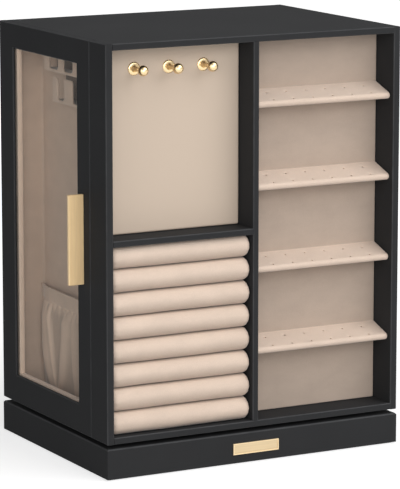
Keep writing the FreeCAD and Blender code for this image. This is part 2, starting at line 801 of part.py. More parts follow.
def earring_bay():
    """The padded panel and the sloping shelves with two rows of earring holes."""
    gap = S.pad_gap
    board("earring_panel_pad", (DIVIDER_RIGHT + gap, BAY_BACK - S.earring_pad, FLOOR + gap),
          (IN_RIGHT - gap, BAY_BACK, CEILING - gap))
    slope = S.shelf_slope_angle
    thick = S.shelf_thickness
    run = S.front_bay - S.earring_pad - S.shelf_setback
    fall = run * tangent(slope)
    length = IN_RIGHT - DIVIDER_RIGHT - 2 * gap
    highest = CEILING - S.top_shelf_drop
    pitch = (highest - FLOOR - S.lowest_shelf) / (S.shelf_count - 1)
    for number in range(1, count(S.shelf_count) + 1):
        level = highest - (number - 1) * pitch
        shelf = Piece("earring_shelf_%d" % number, DIVIDER_RIGHT + gap, BAY_BACK - S.earring_pad, level)
        sketch = shelf.sketch("YZ")
        nose = (-run + thick * sine(slope), -fall - thick * cosine(slope))
        outline(sketch, [(0, 0), (-run, -fall), nose, (0, -thick / cosine(slope))])
        shelf.pad(sketch, length, "+x")
        shelf.fillet(S.shelf_nose, ("x", {"y": -run}), ("x", {"y": nose[0]}))
        sketch = shelf.sketch("XY")
        for row in (S.front_hole_row, S.back_hole_row):
            for index in range(count(S.earring_hole_count)):
                across = length / 2 + (index - (count(S.earring_hole_count) - 1) / 2) * S.earring_hole_pitch
                circle(sketch, across, row - S.front_bay + S.earring_pad, S.earring_hole_radius)
        shelf.pocket(sketch, "through", "-z")


def necklace_bay():
    """A lined tray behind the door, with a two-tier notched rack and a gathered pocket."""
    mouth = IN_LEFT + S.liner_setback
    liner = board("necklace_liner", (mouth, CORE_Y, FLOOR), (PARTITION_X, POST_Y, CEILING))
    sketch = liner.sketch("YZ")
    rectangle(sketch, S.liner, S.liner, liner.deep - S.liner, liner.tall - S.liner)
    liner.pocket(sketch, liner.across - S.liner, "+x")
    necklace_rack()
    necklace_pocket()


def necklace_rack():
    """A flocked rack: a wall plate with two troughs, each with a lip that slots divide into bars."""
    middle = (CORE_Y + POST_Y) / 2
    upper_width = S.upper_bar_count * S.upper_bar + (S.upper_bar_count - 1) * S.upper_slot
    lower_width = 2 * (S.lower_bar + S.lower_slot) + S.lower_middle_bar
    rack = Piece("necklace_hook_rack", NECKLACE_X, middle, CEILING - S.rack_drop)
    wall = S.rack_wall
    reach = S.rack_reach
    tiers = (("upper", sized(0), upper_width), ("lower", -S.rack_tier_drop, lower_width))
    for name, foot, width in tiers:
        plate_top = foot + (S.rack_lip + S.rack_top if name == "upper" else S.rack_tier_drop)
        sketch = rack.sketch("XZ", width / 2)
        outline(sketch, [(0, foot), (-reach, foot), (-reach, foot + S.rack_lip),
                         (-reach + wall, foot + S.rack_lip), (-reach + wall, foot + wall),
                         (-S.rack_plate, foot + wall), (-S.rack_plate, plate_top), (0, plate_top)])
        rack.pad(sketch, width, "-y")
    rack.fillet(wall, ("y", {"x": -reach, "z": 0}), ("y", {"x": -reach, "z": -S.rack_tier_drop}))
    sketch = rack.sketch("YZ", -reach)
    for index in range(1, count(S.upper_bar_count)):
        start = -upper_width / 2 + index * S.upper_bar + (index - 1) * S.upper_slot
        rectangle(sketch, start, S.rack_foot, start + S.upper_slot, S.rack_lip)
    for side in (-1, 1):
        near = side * S.lower_middle_bar / 2
        far = near + side * S.lower_slot
        rectangle(sketch, near, S.rack_foot - S.rack_tier_drop, far, S.rack_lip - S.rack_tier_drop)
    rack.pocket(sketch, wall, "+x")


def fold_wire(level, depth, fold, draw):
    """One level of the pocket's cloth: arcs out and back, then the same arcs a cloth's thickness in.

    At share u of the way across, an edge is drawn to the middle by draw * sin(pi u) * (1/2 - u).
    Outward folds differ in depth, and inward ones are shallower.
    """
    arcs = 2 * count(S.pocket_fold_count)
    span = (POST_Y - CORE_Y - 2 * S.liner - 2 * S.pocket_end_gap).value
    cloth = FreeCAD.Vector(S.pocket_cloth.value, 0, 0)

    def point(share, bulge):
        drawn = share + draw * math.sin(math.pi * share) * (0.5 - share)
        return FreeCAD.Vector(-depth - bulge, drawn * span, level)

    outer = []
    for index in range(arcs):
        uneven = 0.7 + 0.3 * math.cos(2.1 * index)
        bulge = fold * uneven if index % 2 == 0 else -0.4 * fold * uneven
        shares = ((index, 0), (index + 0.5, bulge), (index + 1, 0))
        outer.append([point(share / arcs, out) for share, out in shares])
    edges = [Part.Arc(*points).toShape() for points in outer]
    edges.append(Part.makeLine(outer[-1][2], outer[-1][2] + cloth))
    for low, peak, high in outer[::-1]:
        edges.append(Part.Arc(high + cloth, peak + cloth, low + cloth).toShape())
    edges.append(Part.makeLine(outer[0][0] + cloth, outer[0][0]))
    return Part.Wire(edges)


def necklace_pocket():
    """Gathered cloth from wall to wall: tight at the hem, fuller below and drawn in at the foot."""
    tall = (S.pocket_height - S.liner - S.pocket_end_gap).value
    hem = S.pocket_hem.value
    fold = S.pocket_fold_depth.value
    draw = S.pocket_draw_share.value
    full = S.pocket_depth.value - fold
    tight = 0.9 * full
    levels = [(0, 0.9 * full, 0.3 * fold, draw), (0.3 * tall, full, 0.9 * fold, 0.7 * draw),
              (0.6 * tall, full, fold, 0.3 * draw), (tall - hem, tight, 0.35 * fold, 0),
              (tall, tight, 0.15 * fold, 0)]
    pocket = keep(DOC.addObject("Part::Feature", "necklace_pocket"), "necklace_pocket")
    pocket.Shape = Part.makeLoft([fold_wire(*level) for level in levels], True, False)
    move(pocket, NECKLACE_X, CORE_Y + S.liner + S.pocket_end_gap, FLOOR + S.liner + S.pocket_end_gap)


def window_edges(grow):
    """The window's edges in the door's own frame, grown outwards by a margin."""
    width = BACK - DOOR_FRONT
    tall = TOP - CABINET_Z
    return (S.window_front - S.door_gap - grow, S.window_bottom - grow,
            width - S.window_rear + grow, tall - S.window_top + grow)


def door():
    """The glazed door: a slab with a rebated window, the glass and the bead that holds it."""
    edge = S.board_edge
    slab = board("door_panel", (LEFT, DOOR_FRONT, CABINET_Z), (DOOR_BACK, BACK, TOP))
    slab.chamfer(edge, ("z", {"x": 0}), ("y", {"x": 0}))
    sketch = slab.sketch("YZ")
    rectangle(sketch, *window_edges(0))
    slab.pocket(sketch, DOOR_THICK, "+x")
    left, low, right, high = window_edges(0)
    slab.chamfer(edge, ("z", {"x": 0, "y": left}), ("z", {"x": 0, "y": right}),
                 ("y", {"x": 0, "z": low}), ("y", {"x": 0, "z": high}))
    sketch = slab.sketch("YZ", DOOR_THICK)
    rectangle(sketch, *window_edges(S.bead_lap))
    slab.pocket(sketch, DOOR_THICK - S.door_lip, "-x")
    sketch = slab.sketch("YZ", DOOR_THICK)
    rear = BACK - DOOR_FRONT
    for middle in hinge_levels():
        rectangle(sketch, rear - S.post_board, middle - CABINET_Z - S.hinge_height / 2 - S.screw_fit,
                  rear, middle - CABINET_Z + S.hinge_height / 2 + S.screw_fit)
    slab.pocket(sketch, DOOR_BACK - HINGE_X + S.hinge_play / 2 + S.hinge_plate, "-x")
    sketch = slab.sketch("YZ", DOOR_THICK)
    for middle in hinge_levels():
        for height in hinge_screw_heights(middle):
            circle(sketch, rear - S.post_board / 2, height - CABINET_Z, S.screw_radius + S.screw_fit)
    slab.pocket(sketch, DOOR_THICK - S.screw_skin + S.screw_fit, "-x")
    sketch = slab.sketch("YZ", DOOR_THICK)
    circle(sketch, S.wall_board / 2 - S.door_gap, MIDDLE_Z - CABINET_Z, S.magnet_radius)
    slab.pocket(sketch, S.magnet_thickness, "-x")
    sketch = slab.sketch("YZ")
    for height in stud_offsets():
        circle(sketch, S.handle_offset, MIDDLE_Z - CABINET_Z + height, S.stud_radius + S.stud_fit)
    slab.pocket(sketch, S.stud_length + S.stud_fit, "+x")
    left, low, right, high = window_edges(S.bead_lap - S.glass_gap)
    glass_x = LEFT + S.door_lip
    board("door_glass", (glass_x, DOOR_FRONT + left, CABINET_Z + low),
          (glass_x + S.glass_thickness, DOOR_FRONT + right, CABINET_Z + high))
    bead = Piece("glass_bead", glass_x + S.glass_thickness, DOOR_FRONT, CABINET_Z)
    sketch = bead.sketch("YZ")
    rectangle(sketch, left, low, right, high)
    rectangle(sketch, *window_edges(0))
    bead.pad(sketch, S.bead_depth, "+x")


def stud_offsets():
    return [-S.stud_spacing / 2, S.stud_spacing / 2]


def door_handle():
    """A fin that stands out from the door's stile, with two studs in the slab."""
    low_z = MIDDLE_Z - S.handle_length / 2
    front = DOOR_FRONT + S.handle_offset - S.handle_thickness / 2
    fin = board("door_handle", (LEFT - S.handle_reach, front, low_z),
                (LEFT, front + S.handle_thickness, low_z + S.handle_length))
    fin.chamfer(S.handle_edge, ("z", {"x": 0}), ("y", {"x": 0}), ("x", {"y": 0}),
                ("x", {"y": S.handle_thickness}))
    sketch = fin.sketch("YZ", S.handle_reach)
    for height in stud_offsets():
        circle(sketch, S.handle_thickness / 2, S.handle_length / 2 + height, S.stud_radius)
    fin.pad(sketch, S.stud_length, "+x")


def hinge_leaf(middle, side):
    """A leaf in its mortise and its knuckles: the door's in the middle, the cabinet's at both ends.

    Side is -1 for the door's leaf and 1 for the cabinet's. The knuckles of each end half a play short
    of the other's, and the leaf is cut back round the other's knuckles.
    """
    inner = HINGE_X + side * S.hinge_play / 2
    outer = inner + side * S.hinge_plate
    low_x, high_x = (outer, inner) if side < 0 else (inner, outer)
    low_z = middle - S.hinge_height / 2
    leaf = DOC.addObject("Part::Box", "Leaf")
    bind(leaf, "Length", high_x - low_x)
    bind(leaf, "Width", HINGE_Y - POST_Y)
    bind(leaf, "Height", S.hinge_height)
    move(leaf, low_x, POST_Y, low_z)
    third = S.hinge_height / 3
    half = S.hinge_play / 2
    ends = [(low_z, third - side * half), (low_z + 2 * third + side * half, third - side * half)]
    centre = [(low_z + third - side * half, third + side * S.hinge_play)]
    own, others = (centre, ends) if side < 0 else (ends, centre)
    barrel = S.hinge_barrel_radius
    knuckles = [rod((HINGE_X, HINGE_Y, start), "+z", barrel, tall) for start, tall in own]
    room = [rod((HINGE_X, HINGE_Y, start), "+z", barrel + S.hinge_play, tall) for start, tall in others]
    bore = rod((HINGE_X, HINGE_Y, low_z), "+z", S.hinge_pin_radius + S.hinge_pin_play, S.hinge_height)
    holes = [screw_hole((inner, (POST_Y + BACK) / 2, height), "+x" if side > 0 else "-x")
             for height in hinge_screw_heights(middle)]
    trimmed = DOC.addObject("Part::Cut", "LeafTrimmed")
    trimmed.Base = leaf
    trimmed.Tool = fused(room) if len(room) > 1 else room[0]
    whole = DOC.addObject("Part::Cut", "LeafWhole")
    whole.Base = fused([trimmed] + knuckles)
    whole.Tool = fused([bore] + holes)
    return whole


def screw_hole(point, towards):
    """The room that a countersunk screw takes, with its clearance."""
    cone = DOC.addObject("Part::Cone", "Countersink")
    deep = S.screw_head_radius - S.screw_radius
    bind(cone, "Radius1", S.screw_head_radius + S.screw_fit)
    bind(cone, "Radius2", S.screw_radius + S.screw_fit)
    bind(cone, "Height", deep)
    cone.Placement.Rotation = TURNS[towards]
    move(cone, *point)
    return fused([cone, rod(point, towards, S.screw_radius + S.screw_fit, S.screw_length)])


def hinges():
    """Two small butt hinges in the seam between door and post, and the magnets of the catch."""
    group("door_hinge_leaves", [hinge_leaf(middle, -1) for middle in hinge_levels()])
    group("cabinet_hinge_leaves", [hinge_leaf(middle, 1) for middle in hinge_levels()])
    pins = []
    for middle in hinge_levels():
        low = (HINGE_X, HINGE_Y, middle - S.hinge_height / 2)
        high = along(low, "+z", S.hinge_height)
        pins.append(fused([rod(low, "+z", S.hinge_pin_radius, S.hinge_height),
                           rod(low, "-z", S.hinge_barrel_radius, S.hinge_pin_head),
                           rod(high, "+z", S.hinge_barrel_radius, S.hinge_pin_head)]))
    group("hinge_pins", pins)
    catch_y = BAY_BACK + S.wall_board / 2
    keep(rod((IN_LEFT, catch_y, MIDDLE_Z), "+x", S.magnet_radius, S.magnet_thickness), "cabinet_magnet")
    keep(rod((DOOR_BACK, catch_y, MIDDLE_Z), "-x", S.magnet_radius, S.magnet_thickness), "door_magnet")


def drawer_level(index):
    """Height of a drawer bay's floor, counted from the bottom."""
    return FLOOR + index * (DRAWER_BAY + S.inner_board)


def drawers():
    """Four drawers that slide out of the back: a front, a lined tray and a fin handle each."""
    gap = S.drawer_gap
    low_x = DRAWER_LEFT + gap
    high_x = IN_RIGHT - gap
    front_y = BACK - S.drawer_front
    for index in range(count(S.drawer_count)):
        name = "drawer_%d_" % (index + 1)
        level = drawer_level(index)
        face = board(name + "front", (low_x, front_y, level + gap),
                     (high_x, BACK, level + DRAWER_BAY - gap))
        face.chamfer(S.board_edge, ("x", {"y": S.drawer_front}), ("z", {"y": S.drawer_front}))
        middle = level + DRAWER_BAY / 2
        sketch = face.sketch("XZ", S.drawer_front)
        for across in stud_offsets():
            circle(sketch, face.across / 2 + across, face.tall / 2, S.stud_radius + S.stud_fit)
        face.pocket(sketch, S.stud_length + S.stud_fit, "-y")
        tray = board(name + "tray", (low_x, CORE_Y + S.drawer_back_gap, level + S.drawer_rise),
                     (high_x, front_y, level + DRAWER_BAY - S.drawer_headroom))
        sketch = tray.sketch("XY", tray.tall)
        wall = S.drawer_wall
        rectangle(sketch, wall, wall, tray.across - wall, tray.deep - wall)
        tray.pocket(sketch, tray.tall - S.drawer_floor, "-z")
        low_fin = middle - S.handle_thickness / 2
        centre_x = (low_x + high_x) / 2
        fin = board(name + "handle", (centre_x - S.handle_length / 2, BACK, low_fin),
                    (centre_x + S.handle_length / 2, BACK + S.handle_reach, low_fin + S.handle_thickness))
        fin.chamfer(S.handle_edge, ("x", {"y": S.handle_reach}), ("z", {"y": S.handle_reach}),
                    ("y", {"z": 0}), ("y", {"z": S.handle_thickness}))
        sketch = fin.sketch("XZ")
        for across in stud_offsets():
            circle(sketch, S.handle_length / 2 + across, S.handle_thickness / 2, S.stud_radius)
        fin.pad(sketch, S.stud_length, "-y")


def check_and_write():
    """Stops at the first object that failed or the first bad shape, then writes every sub-part."""
    DOC.recompute()
    for thing in DOC.Objects:
        if "Invalid" in thing.State or "Error" in thing.State:
            raise RuntimeError("%s (%s) failed" % (thing.Label, thing.Name))
    for node in NODES:
        shape = node.Shape
        if shape.isNull() or not shape.isValid() or not shape.Solids or shape.Volume <= 0:
            raise RuntimeError("%s has a bad shape" % node.Label)
    os.makedirs("parts", exist_ok=True)
    for node in NODES:
        node.Shape.exportStep("parts/%s.step" % node.Label)
    print(len(NODES), "sub-parts written")


def main():
    plinth_rails()
    plinth_boards()
    nameplate()
    turntable()
    screws()
    cabinet_shell()
    inner_boards()
    hook_bay()
    ring_rolls()
    earring_bay()
    necklace_bay()
    door()
    door_handle()
    hinges()
    drawers()
    check_and_write()


main()
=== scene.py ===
"""Rotating jewelry box: the looks of a black lacquered cabinet with velvet fittings and gold metalwork.

Metres, +Z up, front towards -Y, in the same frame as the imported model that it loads.
"""
import json
import math

import bmesh
import bpy
import numpy as np
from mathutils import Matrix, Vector

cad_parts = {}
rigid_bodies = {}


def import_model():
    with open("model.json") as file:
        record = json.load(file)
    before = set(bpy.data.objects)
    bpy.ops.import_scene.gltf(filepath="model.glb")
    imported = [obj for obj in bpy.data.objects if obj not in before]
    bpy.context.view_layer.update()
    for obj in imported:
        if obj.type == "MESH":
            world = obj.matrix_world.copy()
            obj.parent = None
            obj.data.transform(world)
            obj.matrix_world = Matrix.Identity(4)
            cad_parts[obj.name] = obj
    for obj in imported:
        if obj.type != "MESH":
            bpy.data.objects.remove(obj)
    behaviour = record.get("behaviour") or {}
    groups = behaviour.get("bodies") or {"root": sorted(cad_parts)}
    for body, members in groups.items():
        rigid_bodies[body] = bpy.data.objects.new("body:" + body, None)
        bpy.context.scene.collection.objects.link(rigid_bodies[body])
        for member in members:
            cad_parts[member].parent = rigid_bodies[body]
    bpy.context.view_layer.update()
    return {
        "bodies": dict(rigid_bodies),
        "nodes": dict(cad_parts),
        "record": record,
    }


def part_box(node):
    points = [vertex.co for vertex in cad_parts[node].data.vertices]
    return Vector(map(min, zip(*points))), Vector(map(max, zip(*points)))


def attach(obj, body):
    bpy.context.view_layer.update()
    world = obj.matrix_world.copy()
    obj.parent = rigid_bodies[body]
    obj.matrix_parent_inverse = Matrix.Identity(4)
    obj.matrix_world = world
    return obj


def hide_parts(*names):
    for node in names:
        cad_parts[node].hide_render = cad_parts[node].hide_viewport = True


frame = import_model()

bl_info = {
    "name": "Rotating Jewelry Box",
    "version": (1, 0, 0),
    "blender": (4, 5, 0),
    "location": "View3D > Sidebar > Jewelry Box",
    "description": "Builds a rotating jewelry box with velvet rolls, pads and shelves on its packed frame",
    "category": "Add Mesh",
}

MM = 0.001
WHITE = (1.0, 1.0, 1.0, 1.0)
DRAWERS = sorted(name for name in frame["bodies"] if name.startswith("drawer_"))
SHELVES = sorted(name for name in frame["nodes"] if name.startswith("earring_shelf_"))
BLACK_NODES, STEEL_NODES = (
    [part["node"] for part in frame["record"]["subparts"] if part["material_slot"] == slot]
    for slot in ("black_board", "steel"))


def count(name, description, number):
    """A property that counts pieces."""
    return bpy.props.IntProperty(name=name, description=description, default=number)


def measure(name, description, millimetres):
    """A length property, its default given in millimetres."""
    return bpy.props.FloatProperty(
        name=name, description=description, default=millimetres * MM, unit="LENGTH")


def tint(name, description, colour):
    """A colour property."""
    return bpy.props.FloatVectorProperty(
        name=name, description=description, default=colour, subtype="COLOR")


class BoxSizes(bpy.types.PropertyGroup):
    """Sizes of the soft and turned pieces that a maker would set by eye."""

    roll_count: count("Ring rolls", "Rolls in the ring compartment", 8)
    roll_gap: measure("Roll gap", "Room between two rolls", 0.3)
    roll_end_round: measure("Roll end rounding", "Radius at a roll's ends", 4.5)
    pad_round: measure("Pad edge rounding", "Radius along a pad's edges", 1.6)
    pad_crown: measure("Pad crown", "Swell in a pad's middle", 0.5)
    shelf_slope: bpy.props.FloatProperty(
        name="Shelf slope", description="Fall of an earring shelf to the front",
        default=math.radians(19.0), subtype="ANGLE")
    shelf_thickness: measure("Shelf thickness", "Thickness of an earring shelf", 5.5)
    shelf_nose: measure("Shelf nose", "Rounding of a shelf's front edge", 2.5)
    hole_pitch: measure("Hole pitch", "Distance between two earring holes", 17.8)
    hole_radius: measure("Hole radius", "Radius of an earring hole", 1.0)
    holes: count("Holes in a row", "Earring holes in each row", 6)
    front_row: measure("Front row", "From the cabinet's front to the front holes", 7.0)
    back_row: measure("Back row", "From the cabinet's front to the back holes", 19.0)
    rack_bars: count("Rack bars", "Upright bars on the rack's upper tier", 4)
    rack_bar: measure("Rack bar", "Width of an upper bar", 9.4)
    rack_end_bar: measure("Rack end bar", "Width of the lower tier's end bars", 9.2)
    rack_middle_bar: measure("Rack middle bar", "Width of the lower tier's middle bar", 15.3)
    rack_slot: measure("Rack slot", "Width of the lower tier's slots", 11.3)
    rack_lip: measure("Rack lip", "Height of the lip over its tier's foot", 20.2)
    rack_foot: measure("Rack foot", "Height of the lip under its slots", 2.3)
    rack_round: measure("Rack rounding", "Radius of the lip's corners", 3.0)
    rack_top: measure("Rack top", "Plate above the upper lip", 3.0)
    rack_wall: measure("Rack wall", "Thickness of the rack's walls", 1.8)
    puckers: count("Puckers", "Puckers under the pocket's hem", 20)
    hem: measure("Pocket hem", "Height of the pocket's elastic hem", 13.0)
    cloth: measure("Cloth", "Thickness of the pocket's cloth", 0.9)
    lining: measure("Lining", "Thickness of a velvet lining", 1.2)
    liner_fillet: measure("Liner fillet", "Radius in the corners of the necklace bay", 2.0)
    bead_overhang: measure("Bead overhang", "Cloth of the bead that stands over the window's sill", 0.9)
    knobs: count("Knobs", "Knob hooks on the padded panel", 3)
    metal_round: measure("Metal rounding", "Radius along a fin handle's edges", 0.55)


class BoxFinishes(bpy.types.PropertyGroup):
    """Colours of the finishes."""

    lacquer: tint("Lacquer", "Black satin lacquer on the boards", (0.0325, 0.033, 0.0344))
    velvet: tint("Velvet", "Champagne velvet", (0.63, 0.505, 0.415))
    gold: tint("Gold", "Gold-coloured metal", (0.80, 0.61, 0.35))
    satin_gold: tint("Satin gold", "Brushed gold-coloured handles", (1.0, 0.72, 0.39))
    plate: tint("Plate", "Bare plate on the plinth", (0.86, 0.68, 0.43))
    steel: tint("Steel", "Zinc-plated steel", (0.56, 0.57, 0.59))
    nylon: tint("Nylon", "Cage of the bearing", (0.72, 0.72, 0.70))
    rubber: tint("Rubber", "Non-slip sheet under the plinth", (0.025, 0.025, 0.026))
    glass: tint("Glass tint", "What each face of the door's glass lets through", (0.995, 0.985, 0.97))
    backdrop: tint("Backdrop", "Studio floor", (0.58, 0.58, 0.58))


# Materials

def empty_tree(owner):
    """The node tree of a material or a world, emptied."""
    owner.use_nodes = True
    owner.node_tree.nodes.clear()
    return owner.node_tree


def node(tree, kind, *values, **settings):
    """Adds a node. Values go to its inputs in order, settings to the inputs or properties of that name.

    A socket among them is linked, and so is the first output of a node.
    """
    made = tree.nodes.new("ShaderNode" + kind)
    named = {}
    for name, value in settings.items():
        title = name.replace("_", " ").title().replace("Ior", "IOR")
        if title in made.inputs:
            named[title] = value
        else:
            setattr(made, name, value)
    for place, value in (*enumerate(values), *named.items()):
        if isinstance(value, bpy.types.Node):
            value = value.outputs[0]
        if isinstance(value, bpy.types.NodeSocket):
            tree.links.new(value, made.inputs[place])
        elif value is not None:
            made.inputs[place].default_value = value
    return made


def calculate(tree, operation, *values, **settings):
    """A Math node."""
    return node(tree, "Math", *values, operation=operation, **settings)


def coordinates(tree, kind="Object"):
    """The piece's own coordinates, or its normals in them."""
    return node(tree, "TexCoord").outputs[kind]


def grain(tree, scale, stretch=(1.0, 1.0, 1.0), detail=3.0, roughness=0.55):
    """A noise pattern on object coordinates, in features per metre, stretched along the axes."""
    place = node(tree, "Mapping", vector=coordinates(tree), scale=stretch)
    return node(tree, "TexNoise", vector=place, scale=scale, detail=detail, roughness=roughness)


def spread(tree, value, low, high):
    """Carries a pattern's 0.3 to 0.7 onto low to high."""
    return node(tree, "MapRange", value, 0.3, 0.7, low, high)


def finish_surface(tree, colour, shade, roughness, bumps, **constants):
    """Ends a tree in one Principled shader: a colour shaded by a pattern, under stacked bumps.

    A bump is a pattern, a height in millimetres and a strength.
    """
    normal = None
    for height, millimetres, strength in bumps:
        normal = node(tree, "Bump", strength=strength, distance=millimetres * MM, height=height,
                      normal=normal)
    shaded = node(tree, "VectorMath", tuple(colour), operation="SCALE", scale=shade)
    shader = node(tree, "BsdfPrincipled", base_color=shaded, roughness=roughness, normal=normal,
                  **constants)
    node(tree, "OutputMaterial", surface=shader)


def chamfer_mask(tree):
    """1 on chamfers and roundings, where the surface squarely faces no axis, and 0 on flat faces."""
    size = node(tree, "VectorMath", coordinates(tree, "Normal"), operation="ABSOLUTE")
    x, y, z = node(tree, "SeparateXYZ", size).outputs
    squarest = calculate(tree, "MAXIMUM", calculate(tree, "MAXIMUM", x, y), z)
    slant = calculate(tree, "SUBTRACT", 1.0, squarest)
    return calculate(tree, "MULTIPLY", slant, 5.0, use_clamp=True)


def satin_lacquer(tree, colour):
    """Sprayed black lacquer: faint orange peel, cloudiness, speckled gloss, edges rubbed thin and shiny,
    and a painted highlight that lightens the edges.
    """
    cloud = spread(tree, grain(tree, 14.0, detail=2.0), 0.95, 1.06)
    speckle = grain(tree, 2600.0, detail=2.0)
    peel = grain(tree, 700.0, detail=2.0)
    # On chamfers the colour is lifted up to 2.1 times: partly edge wear, partly a painted highlight.
    wear_and_painted_highlight = calculate(tree, "MULTIPLY", chamfer_mask(tree), spread(tree, grain(tree, 90.0), 0.55, 1.0))
    shade = calculate(tree, "MULTIPLY", cloud, calculate(tree, "MULTIPLY_ADD", wear_and_painted_highlight, 1.1, 1.0))
    gloss = calculate(tree, "MULTIPLY_ADD", wear_and_painted_highlight, -0.25, spread(tree, speckle, 0.62, 0.76))
    finish_surface(tree, colour, shade, gloss, [(peel, 0.03, 0.35), (speckle, 0.01, 0.3)],
                   specular_ior_level=0.05)


def champagne_velvet(tree, colour, light=1.0, nap_and_painted_shade=(1.0, 1.0, 1.0), sheen=0.70, shaded=False):
    """Short-pile velvet: matted pile, brushed patches where the pile lies over, and a pale sheen.

    Where it is shaded, an attribute of the piece darkens its colour as painted shade: on the flanks
    and in the valleys of folds, low on a roll and where rolls meet.
    """
    pile = grain(tree, 2300.0, nap_and_painted_shade, detail=4.0, roughness=0.7)
    brushed = spread(tree, grain(tree, 42.0, (1.0, 1.0, 1.8)), 0.96, 1.04)
    clumps = grain(tree, 420.0, nap_and_painted_shade, detail=2.0)
    shade = calculate(tree, "MULTIPLY", spread(tree, pile, 0.93, 1.05), brushed)
    # Painted shade: the piece's attribute darkens the colour on the flanks and valleys of folds and where
    # rolls meet.
    if shaded:
        folds = node(tree, "Attribute", attribute_name="nap_and_painted_shade").outputs["Fac"]
        shade = calculate(tree, "MULTIPLY", shade, folds)
    finish_surface(tree, [light * part for part in colour], shade, 0.92,
                   [(clumps, 0.10, 0.35), (pile, 0.16, 0.6)],
                   sheen_weight=sheen, sheen_roughness=0.35, specular_ior_level=0.15)


def brushed_gold(tree, colour, stretch, low, high, metallic=1.0):
    """Gold-coloured metal with fine brush lines along one direction and edges a tenth lighter."""
    lines = grain(tree, 900.0, stretch)
    haze = spread(tree, grain(tree, 60.0, detail=2.0), 0.92, 1.08)
    gloss = calculate(tree, "MULTIPLY", spread(tree, lines, low, high), haze)
    shade = calculate(tree, "MULTIPLY_ADD", chamfer_mask(tree), 0.10, spread(tree, lines, 0.95, 1.03))
    finish_surface(tree, colour, shade, gloss, [(lines, 0.01, 0.15)], metallic=metallic)


def struck_plate(tree, colour):
    """A struck gold-coloured plate: a polished rim round a sunken field brushed along its length."""
    depth = node(tree, "SeparateXYZ", coordinates(tree)).outputs["Y"]
    sink = 0.4 * MM
    field = calculate(tree, "GREATER_THAN", depth, (span("nameplate")[0][1] * 2 + sink) / 2)
    lines = grain(tree, 900.0, (0.04, 1.0, 1.0))
    shade = calculate(tree, "MULTIPLY_ADD", field, -0.24, spread(tree, lines, 1.0, 1.08))
    gloss = calculate(tree, "MULTIPLY_ADD", field, 0.10, spread(tree, lines, 0.34, 0.42))
    finish_surface(tree, colour, shade, gloss, [(lines, 0.01, 0.2)], metallic=1.0)


def plated_metal(tree, colour, low, high):
    """Plated or ground steel with a fine even grain."""
    fine = grain(tree, 1500.0)
    shade = spread(tree, grain(tree, 55.0), 0.9, 1.05)
    finish_surface(tree, colour, shade, spread(tree, fine, low, high), [(fine, 0.01, 0.2)], metallic=1.0)


def moulded_plastic(tree, colour, roughness):
    """Moulded plastic or rubber with a fine eroded grain."""
    shade = spread(tree, grain(tree, 30.0), 0.94, 1.05)
    finish_surface(tree, colour, shade, roughness, [(grain(tree, 1300.0), 0.05, 0.4)])


def window_glass(tree, colour):
    """Thin float glass: it lets a tinted view through and mirrors more of what meets it at a low angle."""
    clear = node(tree, "BsdfTransparent", color=(*colour, 1.0))
    mirror = node(tree, "BsdfGlossy", color=WHITE, roughness=0.02)
    outer = calculate(tree, "SUBTRACT", 1.0, node(tree, "NewGeometry").outputs["Backfacing"])
    share = calculate(tree, "MULTIPLY", node(tree, "Fresnel", ior=1.12), outer)
    node(tree, "OutputMaterial", surface=node(tree, "MixShader", share, clear, mirror))


def finish(name):
    """The material of a finish, made the first time that it is asked for."""
    if name in bpy.data.materials:
        return bpy.data.materials[name]
    colours = bpy.context.scene.box_finishes
    even, along_x, along_z = (1.0, 1.0, 1.0), (0.04, 1.0, 1.0), (1.0, 1.0, 0.04)
    # Copies of the velvet painted lighter or darker to stand in for light and shade: lighter on the rolls,
    # shelves, bead, necklace bay and pocket, darker on the earring panel and in the rack's troughs.
    velvets = {"velvet": (1.0,), "roll velvet painted lighter": (1.15, (0.6, 1.0, 1.0), 0.35, True),
               "panel velvet painted darker": (0.76,), "shelf velvet painted lighter": (1.18,), "bead velvet painted lighter": (1.40,),
               "bay velvet painted lighter": (1.18,), "pocket velvet painted lighter": (1.14, even, 0.70, True),
               "trough velvet painted darker": (0.40,)}
    makers = {
        "black lacquer": (satin_lacquer, colours.lacquer),
        "upright brushed gold": (brushed_gold, colours.satin_gold, along_z, 0.36, 0.48, 0.15),
        "level brushed gold": (brushed_gold, colours.satin_gold, along_x, 0.36, 0.48, 0.15),
        "polished gold": (brushed_gold, colours.gold, even, 0.22, 0.30),
        "nameplate": (struck_plate, colours.plate),
        "plated steel": (plated_metal, colours.steel, 0.3, 0.42),
        "ball steel": (plated_metal, colours.steel, 0.06, 0.12),
        "white nylon": (moulded_plastic, colours.nylon, 0.5),
        "black rubber": (moulded_plastic, colours.rubber, 0.8),
        "door glass": (window_glass, colours.glass),
    }
    makers |= {kind: (champagne_velvet, colours.velvet, *rest) for kind, rest in velvets.items()}
    maker, *values = makers[name]
    material = bpy.data.materials.new(name)
    maker(empty_tree(material), *values)
    return material


def give_finish(finish_name, *names):
    """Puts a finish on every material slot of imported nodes."""
    for name in names:
        materials = frame["nodes"][name].data.materials
        materials.clear()
        materials.append(finish(finish_name))


# Shapes

def together(*parts):
    """Points from their coordinates, each an array or one number."""
    return np.stack(np.broadcast_arrays(*parts), axis=-1)


def join(*parts):
    """One array out of several, end to end."""
    return np.concatenate(parts)


def lay_skin(points, wrap_rows=False, wrap_columns=False):
    """Quads between neighbouring points of a grid, as indices into its flattened points."""
    rows, columns = points.shape[:2]
    index = np.arange(rows * columns).reshape(rows, columns)
    if wrap_rows:
        index = np.vstack([index, index[:1]])
    if wrap_columns:
        index = np.hstack([index, index[:, :1]])
    return together(index[:-1, :-1], index[1:, :-1], index[1:, 1:], index[:-1, 1:]).reshape(-1, 4)


def add_object(name, data):
    """Puts a mesh, a lamp or a camera in the scene."""
    made = bpy.data.objects.new(name, data)
    bpy.context.scene.collection.objects.link(made)
    return made


